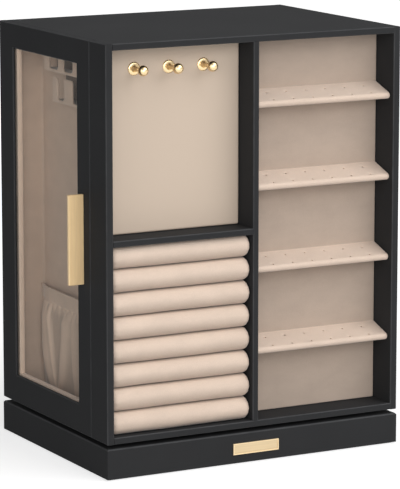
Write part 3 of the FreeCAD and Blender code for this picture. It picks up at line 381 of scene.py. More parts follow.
def make_piece(name, skins, cover, packed, body="cabinet", crease=40.0):
    """Joins grids of points into one mesh, welds their shared borders and sets it on its body.

    A skin is a grid of points, or a tuple of a grid and whether its rows and its columns close. A
    grid of one row is the border of a flat face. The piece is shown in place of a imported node, if any.
    """
    points, faces, start = [], [], 0
    for skin in skins:
        grid, *wraps = skin if isinstance(skin, tuple) else (skin,)
        quads = lay_skin(grid, *wraps) if len(grid) > 1 else np.arange(grid.shape[1])[None]
        faces += (quads + start).tolist()
        points.append(grid.reshape(-1, 3))
        start += len(points[-1])
    mesh = bpy.data.meshes.new(name)
    mesh.from_pydata(join(*points).tolist(), [], faces)
    shell = bmesh.new()
    shell.from_mesh(mesh)
    bmesh.ops.remove_doubles(shell, verts=shell.verts, dist=0.001 * MM)
    bmesh.ops.recalc_face_normals(shell, faces=shell.faces)
    shell.to_mesh(mesh)
    shell.free()
    sides = np.empty(len(mesh.polygons), np.int32)
    mesh.polygons.foreach_get("loop_total", sides)
    mesh.polygons.foreach_set("use_smooth", sides <= 4)
    mesh.set_sharp_from_angle(angle=math.radians(crease))
    mesh.materials.append(finish(cover))
    piece = add_object(name, mesh)
    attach(piece, body)
    if packed:
        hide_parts(packed)
    return piece


def paint_velvet_shade(mesh, shade):
    """Gives a mesh the attribute of painted shade that darkens its velvet, one value for each vertex."""
    mesh.attributes.new("nap_and_painted_shade", "FLOAT", "POINT").data.foreach_set("value", np.ravel(shade))


def span(name):
    """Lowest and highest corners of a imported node, as arrays."""
    low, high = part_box(name)
    return np.array(low), np.array(high)


def angles(start, stop, steps):
    """Even angles in radians, from degrees."""
    return np.radians(np.linspace(start, stop, steps))


def edge_lines(low, high, radius, steps, middle):
    """Grid lines along a rounded box: even angles in its corners, a line close to each, even steps."""
    turns = radius * np.tan(angles(45.0, 0.0, steps + 1))
    inner = np.linspace(low + radius, high - radius, middle + 1)[1:-1]
    close = min(0.2 * radius, 0.4 * (inner[0] - low - radius))
    return join(low + radius - turns, [low + radius + close], inner, [high - radius - close],
                (high - radius + turns)[::-1])


def rounded_box(low, high, radius, steps=4, middle=8, crown=(0.0, 0.0, 0.0)):
    """Six grids of a box with rounded edges.

    Each point p of the sharp box goes to q + radius * (p - q) / |p - q|, where q is the nearest point
    of the box that is smaller by the radius. A crown swells a face outwards along its axis by
    crown * (1 - u^4)(1 - v^4), with u and v from -1 to 1 across it.
    """
    low, high = np.array(low, float), np.array(high, float)
    radius = min(radius, 0.49 * (high - low).min())
    lines = [edge_lines(low[axis], high[axis], radius, steps, middle) for axis in range(3)]
    skins = []
    for axis in range(3):
        first, second = [other for other in range(3) if other != axis]
        along, across = np.meshgrid(lines[first], lines[second], indexing="ij")
        for wall in (low[axis], high[axis]):
            sharp = np.empty(along.shape + (3,))
            sharp[..., first], sharp[..., second], sharp[..., axis] = along, across, wall
            inner = np.clip(sharp, low + radius, high - radius)
            out = (sharp - inner) / np.linalg.norm(sharp - inner, axis=-1, keepdims=True)
            share = 1 - ((inner - (low + high) / 2) / ((high - low) / 2)) ** 4
            swell = share.prod(axis=-1, keepdims=True) / np.maximum(share, 1e-9)
            skins.append(inner + radius * out + out * swell * np.array(crown))
    return skins


def turned(centre, along, profile, around=48):
    """A grid for a turned shape: each (radius, height) of the profile carried round the axis."""
    along = Vector(along)
    side = along.orthogonal().normalized()
    up = along.cross(side)
    angle = np.linspace(0.0, 2 * math.pi, around, endpoint=False)[None, :, None]
    radius, height = (np.array(profile)[:, column, None, None] for column in (0, 1))
    ring = np.cos(angle) * np.array(side) + np.sin(angle) * np.array(up)
    return (np.array(centre) + radius * ring + height * np.array(along), False, True)


def arc(centre, radius, start, stop, steps):
    """Points (across, up) of an arc, with angles in degrees."""
    angle = angles(start, stop, steps)
    return together(centre[0] + radius * np.cos(angle), centre[1] + radius * np.sin(angle))


def cap(loop):
    """Closes a loop of points with a fan to its middle."""
    return np.stack(np.broadcast_arrays(loop, loop.mean(axis=0)))


# Ring rolls

def roll_skins(low, high, end_round, number):
    """A stuffed roll along X with a half-round front and a back that lies flat on the board.

    Section: bottom line, front arc of half the height, top line and back line. At an angle a into a
    rounded end, the section is inset by end_round * (1 - cos a), but for its back. The stuffing is
    uneven by a sum of sines whose phases differ from roll to roll, and the cloth puckers in ripples
    round the section that die out away from the ends.
    """
    radius = (high[2] - low[2]) / 2
    middle = low[2] + radius
    hub = low[1] + radius
    section = join(together(np.linspace(high[1], hub, 9)[:-1], low[2]),
                   arc((hub, middle), radius, 270.0, 90.0, 33),
                   together(np.linspace(hub, high[1], 9)[1:], high[2]),
                   together(high[1], np.linspace(high[2], low[2], 7)[1:-1]))
    turn = angles(90.0, 0.0, 10)
    draw = end_round * (1 - np.sin(turn))
    left, right = low[0] + draw, high[0] - draw
    inner = np.linspace(left[-1], right[-1], 90)[1:-1]
    station = join(left, inner, right[::-1])[:, None]
    inset = end_round * (1 - np.cos(turn))
    inset = join(inset, np.zeros(len(inner)), inset[::-1])[:, None]
    across = high[1] - (high[1] - section[:, 0]) * (1 - inset / (high[1] - low[1]))
    up = middle + (section[:, 1] - middle) * (1 - inset / radius)
    angle = np.arctan2(up - middle, hub - across)
    soft = np.clip((high[1] - across) / (high[1] - hub), 0.0, 1.0)
    from_end = np.minimum(station - low[0], high[0] - station)
    wave = np.sin(station * 61.0 + 1.7 * number) + 0.6 * np.sin(station * 143.0 + 2.9 * number)
    pucker_reach = 5 * MM
    pucker = np.exp(-from_end / pucker_reach) * np.cos(11 * angle + 1.3 * number)
    wave_height, pucker_height = 0.10 * MM, 0.16 * MM
    out = soft * (wave_height * wave + pucker_height * pucker)
    grid = together(station, across - out * np.cos(angle), up + out * np.sin(angle))
    return [(grid, False, True), cap(grid[0]), cap(grid[-1])]


def roll_painted_shade(mesh, low, high):
    """Painted shade by height: it falls slowly below the roll's middle and fast where rolls meet."""
    places = np.empty(len(mesh.vertices) * 3)
    mesh.vertices.foreach_get("co", places)
    height = (places[2::3] - low[2]) / (high[2] - low[2])
    return np.interp(height, [0.0, 0.04, 0.12, 0.6, 0.95, 1.0], [0.50, 0.74, 0.86, 1.02, 1.02, 0.55])


class StuffRingRolls(bpy.types.Operator):
    """Makes the velvet ring rolls, one above the other"""

    bl_idname = "jewelry_box.ring_rolls"
    bl_label = "Ring Rolls"

    def execute(self, context):
        sizes = context.scene.box_sizes
        low, high = span("ring_rolls")
        pitch = (high[2] - low[2] + sizes.roll_gap) / sizes.roll_count
        for index in range(sizes.roll_count):
            foot = low + (0, 0, index * pitch)
            crest = (high[0], high[1], foot[2] + pitch - sizes.roll_gap)
            skins = roll_skins(foot, crest, sizes.roll_end_round, index)
            name = "ring_roll_%d" % (index + 1)
            # Rolls take velvet painted lighter, with painted shade by height from their attribute.
            roll = make_piece(name, skins, "roll velvet painted lighter", "ring_rolls", crease=70.0)
            paint_velvet_shade(roll.data, roll_painted_shade(roll.data, foot, crest))
        return {"FINISHED"}


# Padded panels

class PadPanels(bpy.types.Operator):
    """Makes the padded panels behind the hooks and behind the earring shelves"""

    bl_idname = "jewelry_box.padded_panels"
    bl_label = "Padded Panels"

    def execute(self, context):
        sizes = context.scene.box_sizes
        # The earring panel's velvet is painted darker, as shade under the shelves.
        panels = (("hook_panel_pad", sizes.pad_crown, "velvet"),
                  ("earring_panel_pad", 0.4 * sizes.pad_crown, "panel velvet painted darker"))
        for name, crown, cover in panels:
            skins = rounded_box(*span(name), sizes.pad_round, middle=24, crown=(0, crown, 0))
            panel = make_piece(name + "_velvet", skins, cover, name)
        return {"FINISHED"}


# Earring shelves

def pierced_cell(centre, x_lines, s_lines, radius, rings=7):
    """Grid from a hole's rim out to its cell's border, closed round the hole.

    Along each spoke the point is rim + (border - rim) * w^1.6, with w from 0 to 1.
    """
    sides = (together(x_lines, s_lines[0]), together(x_lines[-1], s_lines),
             together(x_lines[::-1], s_lines[-1]), together(x_lines[0], s_lines[::-1]))
    border = join(*(side[:-1] for side in sides))
    spoke = border - centre
    rim = centre + radius * spoke / np.linalg.norm(spoke, axis=-1, keepdims=True)
    share = np.linspace(0.0, 1.0, rings)[:, None, None] ** 1.6
    return rim + (border - rim) * share


def shelf_skins(low, high, sizes):
    """A velvet-covered shelf that falls to the front, with a rounded nose and rows of pierced holes.

    A point is given by x, its distance s down the slope from the back edge and its height n above the
    top face. The cover dips round each hole by depth * exp(-((d - r) / width)^2) at distance d. At a
    distance e < r from an end, the section draws in by r - sqrt(r^2 - (r - e)^2).
    """
    left, right = low[0], high[0]
    back_y, back_z = high[1:]
    slope, thick, nose = sizes.shelf_slope, sizes.shelf_thickness, sizes.shelf_nose
    end = sizes.pad_round
    dip_depth, dip_width = 0.35 * MM, 1.1 * MM
    length = (back_y - low[1] - nose + nose * math.sin(slope)) / math.cos(slope) + nose
    lean = thick * math.tan(slope)
    front_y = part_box("front_divider")[0].y
    rows = [(back_y - front_y - row) / math.cos(slope) for row in (sizes.back_row, sizes.front_row)]
    between = sum(rows) / 2
    cell_s = [np.linspace(1.3 * lean, between, 8), np.linspace(between, length - nose, 8)]
    first = (left + right) / 2 - sizes.hole_pitch * sizes.holes / 2
    cell_x = [first + sizes.hole_pitch * (index + np.linspace(0, 1, 7)) for index in range(sizes.holes)]
    turn = end * (1 - np.sin(angles(90.0, 0.0, 6)))
    left_x = join(left + turn, np.linspace(left + end, cell_x[0][0], 4)[1:])
    right_x = join(np.linspace(cell_x[-1][-1], right - end, 4), (right - turn[::-1])[1:])
    all_x = join(left_x, *(lines[1:] for lines in cell_x), right_x[1:])
    centres = np.array([((lines[0] + lines[-1]) / 2, row) for row in rows for lines in cell_x])

    def place(x, s, n):
        away = np.sqrt((x[..., None] - centres[:, 0]) ** 2 + (s[..., None] - centres[:, 1]) ** 2)
        away = (away.min(axis=-1) - sizes.hole_radius) / dip_width
        dip = dip_depth * np.exp(-away ** 2) * np.clip(1 + n / MM, 0, 1)
        e = np.minimum(np.minimum(x - left, right - x), end)
        inset = end - np.sqrt(np.maximum(end ** 2 - (end - e) ** 2, 0))
        s = s * (1 - inset / length)
        n = (n + thick / 2) * (1 - 2 * inset / thick) - thick / 2 - dip
        y = back_y - s * math.cos(slope) - n * math.sin(slope)
        z = back_z - s * math.sin(slope) + n * math.cos(slope)
        return together(x, y, z)

    def strip(x_lines, path):
        x, index = np.meshgrid(x_lines, np.arange(len(path)), indexing="ij")
        return place(x, path[index, 0], path[index, 1])

    skins, holes = [], {}
    for n in (0.0, -thick):
        for row, lines in zip(rows, cell_s):
            for x_lines in cell_x:
                middle = np.array([(x_lines[0] + x_lines[-1]) / 2, row])
                cell = pierced_cell(middle, x_lines, lines, sizes.hole_radius)
                grid = place(cell[..., 0], cell[..., 1], np.full(cell.shape[:2], n))
                skins.append((grid, False, True))
                holes.setdefault((row, x_lines[0]), []).append(grid[0])
            skins += [strip(left_x, together(lines, n)), strip(right_x, together(lines, n))]
    skins += [(np.stack(rims), False, True) for rims in holes.values()]
    top_start = together(np.linspace(0.0, cell_s[0][0], 3), 0.0)
    front = join(arc((length - nose, -nose), nose, 90.0, 0.0, 8),
                 arc((length - nose, nose - thick), nose, 0.0, -90.0, 8))
    under = together(np.linspace(cell_s[0][0], lean, 3), -thick)
    back = together(np.linspace(lean, 0.0, 4), np.linspace(-thick, 0.0, 4))
    skins += [strip(all_x, path) for path in (top_start, front, under, back)]
    tops = [together(lines[1:], 0.0) for lines in cell_s]
    lows = [together(lines[::-1][1:], -thick) for lines in cell_s[::-1]]
    loop = join(top_start, *tops, front[1:], *lows, under[1:], back[1:-1])
    for side in (left, right):
        skins.append((cap(place(np.full(len(loop), side), loop[:, 0], loop[:, 1])), False, True))
    return skins


class SetEarringShelves(bpy.types.Operator):
    """Makes the velvet earring shelves with their rows of pierced holes"""

    bl_idname = "jewelry_box.earring_shelves"
    bl_label = "Earring Shelves"

    def execute(self, context):
        sizes = context.scene.box_sizes
        for name in SHELVES:
            skins = shelf_skins(*span(name), sizes)
            # The shelves' velvet is painted lighter, as light on their tops.
            shelf = make_piece(name + "_velvet", skins, "shelf velvet painted lighter", name)
        return {"FINISHED"}


# Necklace bay

def pan_skins(low, high, wall, fillet, axis, direction):
    """A thin-walled pan that opens along an axis: a rounded rim, smooth walls and a filleted floor.

    A ring is the pan's rectangle drawn in by i at a height t over the pan's back, with corner arcs.
    Over the rim, i = w/2 (1 - cos a) and t = top - w/2 (1 - sin a) for a up to 180 degrees. In the
    fillet, i = w + f (1 - cos b) and t = w + f (1 - sin b) for b up to 90 degrees. Rings and points
    close to the bends keep the flat parts flat in their shading.
    """
    plane = [other for other in range(3) if other != axis]
    tall = high[axis] - low[axis]
    close = 0.3 * MM
    over = angles(0.0, 180.0, 9)
    down = angles(0.0, 90.0, 9)
    inset = join([0.0, 0.0], wall / 2 * (1 - np.cos(over)), [wall, wall],
                 wall + fillet * (1 - np.cos(down)), [wall + fillet + close])
    height = join([0.0, tall - wall / 2 - close], tall - wall / 2 * (1 - np.sin(over)),
                  [tall - wall / 2 - close, wall + fillet + close],
                  wall + fillet * (1 - np.sin(down)), [wall])
    rings = []
    for i, t in zip(inset, height):
        radius = max(min(i / wall, 1.0) * fillet - max(i - wall, 0.0), 0.02 * MM)
        near, far = low[plane] + i + radius, high[plane] - i - radius
        loop = []
        for hub, start in ((far, 0), ((near[0], far[1]), 90), (near, 180), ((far[0], near[1]), 270)):
            bend = arc(hub, radius, start, start + 90, 7)
            along = np.array([math.sin(math.radians(start)), -math.cos(math.radians(start))])
            across = np.array([along[1], -along[0]])
            loop += [bend[:1] + close * along, bend, bend[-1:] + close * across]
        level = high[axis] - t if direction < 0 else low[axis] + t
        rings.append(np.insert(join(*loop), axis, level, axis=1))
    grid = np.stack(rings)
    return [(grid, False, True), grid[:1], grid[-1:]]


def comb_skins(bars, foot, slot_foot, top, near, wall, radius):
    """An upright lip, thin along X: a foot strip with bars above it and slots between the bars.

    The outline walks along the foot and back over the bars. A corner c between the directions a and b
    is c - r (1 - sin t) a + r (1 - cos t) b for t up to 90 degrees. The rim is rounded by an inset of
    e (1 - sin s) along the outline's normal at the depth e (1 - cos s).
    """
    corners = [(bars[0][0], foot), (bars[-1][1], foot)]
    for start, stop in bars[::-1]:
        corners += [(stop, slot_foot), (stop, top), (start, top), (start, slot_foot)]
    corners = np.array([corners[0], corners[1], *corners[3:-1]])
    before, after = corners - np.roll(corners, 1, axis=0), np.roll(corners, -1, axis=0) - corners
    before, after = (side / np.linalg.norm(side, axis=1, keepdims=True) for side in (before, after))
    outwards = np.sign(before[:, 0] * after[:, 1] - before[:, 1] * after[:, 0])[:, None, None]
    foot_corner = (corners[:, 1] != slot_foot) & (corners[:, 1] != top)
    limit = np.where(foot_corner, 0.6 * radius, radius)[:, None, None]
    turn = angles(0.0, 90.0, 9)[None, :, None]
    before, after = before[:, None], after[:, None]
    path = corners[:, None] - limit * (1 - np.sin(turn)) * before + limit * (1 - np.cos(turn)) * after
    normal = outwards * (before * np.sin(turn) - after * np.cos(turn))
    path, normal = path.reshape(-1, 2), normal.reshape(-1, 2)
    edge = 0.42 * wall
    bend = angles(0.0, 90.0, 5)
    inset = edge * (1 - np.sin(join(bend, bend[::-1])))[:, None, None]
    depth = edge * (1 - np.cos(bend))
    depth = near + join(depth, wall - depth[::-1])
    flat = path - inset * normal
    grid = together(depth[:, None], flat[..., 0], flat[..., 1])
    return [(grid, False, True), grid[:1], grid[-1:]]


def rack_skins(low, high, sizes):
    """A flocked rack in two tiers: the skins of its lips, then those of its plates and floors.

    Bars and slots alternate across the upper tier. The lower tier has a wide bar in its middle, a slot
    on each side of it and a bar at each end.
    """
    wall = sizes.rack_wall
    plate, inset, air = 2 * MM, 0.3 * MM, 0.1 * MM
    upper_foot = high[2] - sizes.rack_lip - sizes.rack_top
    spare = (high[1] - low[1] - sizes.rack_bars * sizes.rack_bar) / (sizes.rack_bars - 1)
    starts = low[1] + np.arange(sizes.rack_bars) * (sizes.rack_bar + spare)
    upper = [(start, start + sizes.rack_bar) for start in starts]
    middle = (low[1] + high[1]) / 2
    near = sizes.rack_middle_bar / 2
    far = near + sizes.rack_slot
    end = far + sizes.rack_end_bar
    lower = [(middle - end, middle - far), (middle - near, middle + near), (middle + far, middle + end)]
    lips, troughs = [], []
    for foot, top, bars in ((upper_foot, high[2], upper), (low[2], upper_foot, lower)):
        left, right = bars[0][0], bars[-1][1]
        troughs += rounded_box((high[0] - plate, left, foot + air), (high[0], right, top), 0.4 * wall)
        troughs += rounded_box((low[0] + 0.4 * wall, left + inset, foot + air),
                               (high[0] - MM, right - inset, foot + wall), 0.3 * wall)
        lips += comb_skins(bars, foot, foot + sizes.rack_foot, foot + sizes.rack_lip, low[0], wall,
                           sizes.rack_round)
    return lips, troughs


class LineNecklaceBay(bpy.types.Operator):
    """Lines the necklace bay with velvet and hangs its flocked rack"""

    bl_idname = "jewelry_box.necklace_bay"
    bl_label = "Necklace Bay"

    def execute(self, context):
        sizes = context.scene.box_sizes
        low, high = span("necklace_liner")
        wall = high[0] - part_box("necklace_hook_rack")[1].x
        skins = pan_skins(low, high, wall, sizes.liner_fillet, 0, -1)
        # Liner and rack lips take velvet painted lighter; the troughs behind the lips take velvet painted
        # darker, as shade.
        make_piece("necklace_liner_velvet", skins, "bay velvet painted lighter", "necklace_liner")
        lips, troughs = rack_skins(*span("necklace_hook_rack"), sizes)
        make_piece("necklace_rack_lips", lips, "bay velvet painted lighter", "necklace_hook_rack")
        make_piece("necklace_rack_troughs", troughs, "trough velvet painted darker", "necklace_hook_rack")
        return {"FINISHED"}


# Folds of the pocket: places of the crest across it at the foot, at mid height and at the hem, height in
# mm, widths of the steep flank and of the soft flank, all but the height in shares of the pocket's width
POCKET_FOLDS = ((0.10, 0.09, 0.06, 3.0, 0.016, 0.050), (0.13, 0.18, 0.22, 3.4, 0.016, 0.045),
                (0.33, 0.30, 0.28, 3.2, 0.016, 0.050), (0.37, 0.40, 0.44, 2.6, 0.014, 0.040),
                (0.52, 0.54, 0.55, 2.4, 0.014, 0.045), (0.745, 0.66, 0.630, 4.4, 0.024, 0.060),
                (0.765, 0.81, 0.85, 3.6, 0.012, 0.022), (0.80, 0.91, 0.945, 4.2, 0.016, 0.085))


def pocket_grid(low, high, sizes):
    """Gathered cloth from wall to wall, standing a little off the bay's deep wall, and the shade painted on
    it.

    With u across and v up, the cloth stands off by stand(v) plus its folds. A fold is a ridge
    height * full(v) * exp(-((u - crest(v)) / width)^2) with a steep flank and a soft one, whose crest
    runs in a parabola from the hem to the foot, where folds meet. Towards both ends the stand falls by
    the share drawn(v) * exp(-(end / 0.075)^2). Short puckers, grooves of the same form, hang from the
    hem's stitch line. Painted shade darkens the flanks that turn to the back, by their slope, and the
    valleys between folds.
    """
    luck = np.random.default_rng(7)
    u, v = np.meshgrid(np.linspace(0, 1, 361), np.linspace(0, 1, 97), indexing="ij")
    tall = high[2] - low[2]
    hem_v = 1 - sizes.hem / tall
    under = np.clip((hem_v - v) * tall, 0, None)
    full = np.interp(v, [0.0, 0.10, 0.35, 0.72, hem_v, 1.0], [0.15, 0.45, 0.85, 1.0, 0.20, 0.0])
    stand = np.interp(v, [0.0, 0.12, 0.45, 0.75, hem_v, 1.0], [5.2, 6.1, 6.4, 6.3, 5.6, 5.9]) * MM
    drawn = np.interp(v, [0.0, 0.25, hem_v, 1.0], [0.90, 0.85, 0.66, 0.60])
    end = np.minimum(u, 1 - u)
    stand *= 1 - drawn * np.exp(-((end / 0.075) ** 2))
    full *= 1 - np.exp(-((end / 0.06) ** 2))
    shape = np.zeros_like(u)
    for foot, waist, top, height, steep, soft in POCKET_FOLDS:
        bend = v / hem_v
        crest = (foot * (1 - bend) * (1 - 2 * bend) + 4 * waist * bend * (1 - bend)
                 + top * bend * (2 * bend - 1))
        flank = np.where(u > crest, steep, soft) * (0.7 + 0.5 * v)
        shape = np.maximum(shape, height * MM * full * np.exp(-(((u - crest) / flank) ** 2)))
    pucker_lean, pucker_width = 0.03, 0.009
    for k in range(sizes.puckers):
        at = (k + 0.5 + 0.7 * luck.uniform(-0.5, 0.5)) / sizes.puckers
        reach, depth = luck.uniform(4.0, 15.0) * MM, luck.uniform(1.0, 2.2) * MM
        fade = np.exp(-((under / reach) ** 2)) * np.interp(v, [hem_v, hem_v + 0.03], [1.0, 0.0])
        away = u - at + pucker_lean * (hem_v - v)
        shape -= depth * fade * np.exp(-((away / pucker_width) ** 2))
    stitch_depth, stitch_width = 0.6 * MM, 1.0 * MM
    stitches = -stitch_depth * np.exp(-(((v - hem_v) * tall / stitch_width) ** 2))
    sag = -0.9 * MM * np.sin(math.pi * u) * np.clip((v - 0.7) / 0.3, 0, 1)
    x = high[0] - sizes.cloth / 2 - (stand + shape + stitches)
    y = low[1] + sizes.cloth / 2 + u * (high[1] - low[1] - sizes.cloth)
    z = low[2] + v * tall + sag
    # Painted shade: darker on flanks that turn to the back and in the valleys between folds.
    slope = np.gradient(x, axis=0) / np.gradient(y, axis=0)
    fold_height = 2.6 * MM
    valley = np.clip(1 - shape / (fold_height * np.maximum(full, 0.15)), 0.0, 1.0)
    valley *= np.clip((hem_v - v) / 0.1, 0.0, 1.0)
    nap_and_painted_shade = 1.06 - 0.26 * np.clip(slope / 0.5, 0.0, 1.0) - 0.24 * valley
    return np.stack([x, y, z], axis=-1), nap_and_painted_shade


class GatherPocket(bpy.types.Operator):
    """Hangs the gathered pocket at the foot of the necklace bay"""

    bl_idname = "jewelry_box.necklace_pocket"
    bl_label = "Necklace Pocket"

    def execute(self, context):
        sizes = context.scene.box_sizes
        low, high = span("necklace_pocket")
        high[0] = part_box("necklace_hook_rack")[1].x
        grid, nap_and_painted_shade = pocket_grid(low, high, sizes)
        # The pocket's velvet is painted lighter, with painted shade in its folds.
        pocket = make_piece("necklace_pocket_cloth", [grid], "pocket velvet painted lighter", "necklace_pocket",
                            crease=80.0)
        paint_velvet_shade(pocket.data, nap_and_painted_shade)
        thicken = pocket.modifiers.new("cloth thickness", "SOLIDIFY")
        thicken.thickness = sizes.cloth
        thicken.offset = 0.0
        return {"FINISHED"}


# Door

def ring_bar(outer_low, outer_high, inner_low, inner_high, near, far, radius):
    """A rectangular ring in the YZ plane: a rounded bar section carried round its four mitred corners."""
    outer, inner = (np.array([low, (high[0], low[1]), high, (low[0], high[1])])
                    for low, high in ((outer_low, outer_high), (inner_low, inner_high)))
    wide = abs(outer_low[0] - inner_low[0])
    deep = far - near
    rounds = (((radius, radius), 180), ((wide - radius, radius), 270),
              ((wide - radius, deep - radius), 0), ((radius, deep - radius), 90))
    section = join(*(arc(hub, radius, start, start + 90, 5) for hub, start in rounds))
    share = section[:, 0] / wide
    flat = outer[:, None, :] + (inner - outer)[:, None, :] * share[None, :, None]
    return (together(near + section[:, 1], flat[..., 0], flat[..., 1]), True, True)


class GlazeDoor(bpy.types.Operator):
    """Puts the glass and its velvet-covered bead in the door"""

    bl_idname = "jewelry_box.door_glass"
    bl_label = "Door Glass"

    def execute(self, context):
        sizes = context.scene.box_sizes
        give_finish("door glass", "door_glass")
        low, high = span("glass_bead")
        lap = 4.8 * MM
        inner = low[1:] + (lap, lap + sizes.bead_overhang)
        skin = ring_bar(low[1:], high[1:], inner, high[1:] - lap, low[0], high[0], 0.5 * sizes.pad_round)
        # The bead's velvet is painted lighter, as light that does not reach it.
        make_piece("glass_bead_velvet", [skin], "bead velvet painted lighter", "glass_bead", "left_door", crease=60.0)
        return {"FINISHED"}


# Metalwork

class TurnKnobs(bpy.types.Operator):
    """Turns the gold knob hooks and their rosettes"""

    bl_idname = "jewelry_box.knob_hooks"
    bl_label = "Knob Hooks"

    def execute(self, context):
        low, high = span("hook_knobs")
        plate_low, plate_high = span("hook_rosettes")
        ball = (high[2] - low[2]) / 2
        disc = (plate_high[2] - plate_low[2]) / 2
        face = plate_high[1]
        reach = face - low[1] - ball
        neck = 0.48 * ball
        middle = (low[2] + high[2]) / 2
        places = np.linspace(low[0] + ball, high[0] - ball, context.scene.box_sizes.knobs)
        dome = arc((0, 0), 1.0, 90, 0, 12)
        plate = [(0.0, 0.0), (0.86 * disc, 0.0), (0.96 * disc, 0.15 * MM), (disc, 0.45 * MM),
                 (0.97 * disc, 0.8 * MM)]
        plate += [(x * 0.92 * disc, (0.85 + 0.75 * y) * MM) for x, y in dome[::-1]]
        bulb = arc((0.0, reach), ball, math.degrees(math.asin(neck / ball)) - 90.0, 90.0, 26).tolist()
        stem = [(0.0, 0.4 * MM), (1.5 * neck, 0.9 * MM), (1.2 * neck, 2.0 * MM), (0.95 * neck, 3.6 * MM),
                (0.88 * neck, 0.45 * reach), (0.92 * neck, reach - 1.25 * ball)]
        for number, across in enumerate(places, start=1):
            for kind, profile in (("rosette", plate), ("knob", stem + bulb)):
                skin = turned((across, face, middle), (0, -1, 0), profile)
                make_piece("hook_%s_%d" % (kind, number), [skin], "polished gold", "hook_%ss" % kind,
                           crease=60.0)
        return {"FINISHED"}


class FitHandles(bpy.types.Operator):
    """Fits the gold fin handles on the door and on the drawers"""

    bl_idname = "jewelry_box.handles"
    bl_label = "Fin Handles"

    def execute(self, context):
        radius = context.scene.box_sizes.metal_round
        low, high = span("door_handle")
        high[0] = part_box("door_panel")[0].x
        fins = [("door", low, high, "upright brushed gold", "left_door")]
        for drawer in DRAWERS:
            low, high = span(drawer + "_handle")
            low[1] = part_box(drawer + "_front")[1].y
            fins.append((drawer, low, high, "level brushed gold", drawer))
        for name, low, high, cover, body in fins:
            make_piece(name + "_fin", rounded_box(low, high, radius), cover, name + "_handle", body)
        return {"FINISHED"}


class FitHardware(bpy.types.Operator):
    """Finishes the hinges, the bare plate, the screws and the turntable bearing"""

    bl_idname = "jewelry_box.hardware"
    bl_label = "Hardware"

    def execute(self, context):
        give_finish("nameplate", "nameplate")
        give_finish("upright brushed gold", "cabinet_hinge_leaves", "door_hinge_leaves", "hinge_pins")
        give_finish("plated steel", *STEEL_NODES)
        give_finish("ball steel", "turntable_balls")
        give_finish("white nylon", "turntable_ball_cage")
        give_finish("black rubber", "non_slip_sheet")
        return {"FINISHED"}


# Boards and drawers

class LacquerBoards(bpy.types.Operator):
    """Sprays the boards of the plinth, cabinet, door and drawers"""

    bl_idname = "jewelry_box.lacquer"
    bl_label = "Lacquered Boards"

    def execute(self, context):
        give_finish("black lacquer", *BLACK_NODES)
        return {"FINISHED"}


class LineDrawers(bpy.types.Operator):
    """Lacquers the drawer trays and lines them with velvet"""

    bl_idname = "jewelry_box.drawers"
    bl_label = "Drawer Linings"

    def execute(self, context):
        sizes = context.scene.box_sizes
        wall, floor, rim, air = 4.0 * MM, 3.0 * MM, 0.8 * MM, 0.1 * MM
        for drawer in DRAWERS:
            give_finish("black lacquer", drawer + "_tray")
            low, high = span(drawer + "_tray")
            low = low + (wall + air, wall + air, floor + air)
            high = high - (wall + air, wall + air, rim)
            skins = pan_skins(low, high, sizes.lining, 0.7 * sizes.liner_fillet, 2, 1)
            make_piece(drawer + "_lining", skins, "velvet", None, drawer)
        return {"FINISHED"}


# Stage: radii of the floor's rings, and the name, place, side and power of each lamp
FLOOR_RINGS = (0.0, 0.5, 1.5, 4.0, 14.0)
LAMPS = (("key", (1.0, -1.5, 1.85), 2.0, 35.0), ("front", (-0.30, -2.6, 0.95), 1.6, 26.0),
         ("fill", (-2.2, -1.2, 0.9), 1.2, 8.5), ("top", (0.1, 0.1, 2.4), 1.6, 7.5),
         ("left front", (-1.5, -2.6, 0.6), 1.4, 15.0))
ROOM_LIGHT = 0.03
ROOM_IN_MIRRORS = 0.56


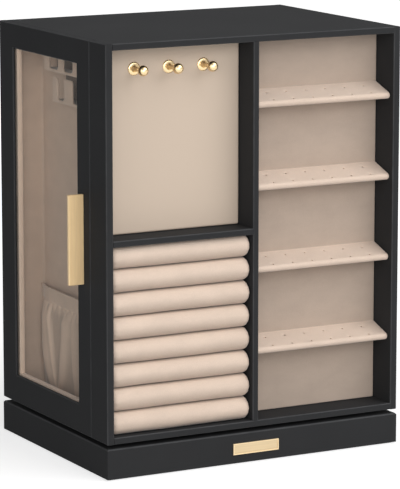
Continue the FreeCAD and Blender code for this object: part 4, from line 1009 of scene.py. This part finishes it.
class SetStage(bpy.types.Operator):
    """Sets the pale floor, the soft studio light and the camera"""

    bl_idname = "jewelry_box.stage"
    bl_label = "Studio Stage"

    def execute(self, context):
        scene = context.scene
        self.lay_floor(scene)
        self.hang_lights(scene)
        self.place_camera(scene)
        scene.view_settings.view_transform = "Standard"
        return {"FINISHED"}

    def lay_floor(self, scene):
        """A wide disc whose paint looks white to the camera and keeps the shadow."""
        angle = np.linspace(0.0, 2 * math.pi, 96, endpoint=False)
        radius = np.array(FLOOR_RINGS)[:, None]
        disc = together(radius * np.cos(angle), radius * np.sin(angle), 0.0)
        material = bpy.data.materials.new("studio floor")
        tree = empty_tree(material)
        paint = node(tree, "BsdfDiffuse", color=(*scene.box_finishes.backdrop, 1.0))
        reach = node(tree, "VectorMath", coordinates(tree), operation="LENGTH").outputs["Value"]
        lift = node(tree, "Emission", strength=node(tree, "MapRange", reach, 0.2, 1.2, 0.70, 1.0))
        dark = node(tree, "Emission", strength=0.0)
        glow = node(tree, "MixShader", self.seen_share(tree), dark, lift)
        node(tree, "OutputMaterial", surface=node(tree, "AddShader", paint, glow))
        mesh = bpy.data.meshes.new("studio_floor")
        mesh.from_pydata(disc.reshape(-1, 3).tolist(), [], lay_skin(disc, False, True).tolist())
        mesh.materials.append(material)
        add_object("studio_floor", mesh)

    def seen_share(self, tree):
        """1 for rays from the camera, from mirrors and through glass, and 0 for scattered light."""
        rays = node(tree, "LightPath").outputs
        seen = calculate(tree, "ADD", rays["Is Camera Ray"], rays["Is Glossy Ray"], use_clamp=True)
        return calculate(tree, "ADD", seen, rays["Is Transmission Ray"], use_clamp=True)

    def hang_lights(self, scene):
        """A large soft key from the upper right, panels in front, on the left and above, a dim room.

        Mirrors and glass see a grey room, and the camera sees it white.
        """
        aim = Vector((0.0, 0.0, 0.17))
        for name, place, side, power in LAMPS:
            lamp = bpy.data.lights.new(name, "AREA")
            lamp.size = side
            lamp.energy = power
            panel = add_object(name, lamp)
            panel.location = place
            panel.rotation_euler = (aim - panel.location).to_track_quat("-Z", "Y").to_euler()
        scene.world = bpy.data.worlds.new("studio room")
        tree = empty_tree(scene.world)
        camera_ray = node(tree, "LightPath").outputs["Is Camera Ray"]
        strength = calculate(tree, "MULTIPLY_ADD", camera_ray, 1 - ROOM_IN_MIRRORS, ROOM_IN_MIRRORS)
        room = node(tree, "Background", color=WHITE, strength=ROOM_LIGHT)
        wall = node(tree, "Background", color=WHITE, strength=strength)
        node(tree, "OutputWorld", surface=node(tree, "MixShader", self.seen_share(tree), room, wall))

    def place_camera(self, scene):
        """The photograph's view: from the front left, a little above, with a long lens."""
        lens = bpy.data.cameras.new("camera")
        lens.sensor_width = 36.0
        lens.lens = 226.9
        lens.clip_end = 50.0
        camera = add_object("camera", lens)
        camera.location = (-1.1639, -2.1673, 0.6087)
        dip, turn = 10.34, 28.27
        camera.rotation_euler = (math.radians(90.0 - dip), 0.0, math.radians(-turn))
        scene.camera = camera


class BoxPanel(bpy.types.Panel):
    """Lists the pieces of the jewelry box"""

    bl_idname = "VIEW3D_PT_jewelry_box"
    bl_label = "Jewelry Box"
    bl_space_type = "VIEW_3D"
    bl_region_type = "UI"
    bl_category = "Jewelry Box"

    def draw(self, context):
        for operator in OPERATORS:
            self.layout.operator(operator.bl_idname)
        for group in (context.scene.box_sizes, context.scene.box_finishes):
            column = self.layout.column()
            for name in group.__annotations__:
                column.prop(group, name)


OPERATORS = (LacquerBoards, StuffRingRolls, PadPanels, SetEarringShelves, LineNecklaceBay, GatherPocket,
             GlazeDoor, TurnKnobs, FitHandles, FitHardware, LineDrawers, SetStage)
CLASSES = (BoxSizes, BoxFinishes, *OPERATORS, BoxPanel)


def register():
    for cls in CLASSES:
        bpy.utils.register_class(cls)
    bpy.types.Scene.box_sizes = bpy.props.PointerProperty(type=BoxSizes)
    bpy.types.Scene.box_finishes = bpy.props.PointerProperty(type=BoxFinishes)


def unregister():
    del bpy.types.Scene.box_finishes
    del bpy.types.Scene.box_sizes
    for cls in reversed(CLASSES):
        bpy.utils.unregister_class(cls)


def main():
    register()
    for operator in OPERATORS:
        getattr(bpy.ops.jewelry_box, operator.bl_idname.split(".")[1])()


if __name__ == "__main__":
    main()
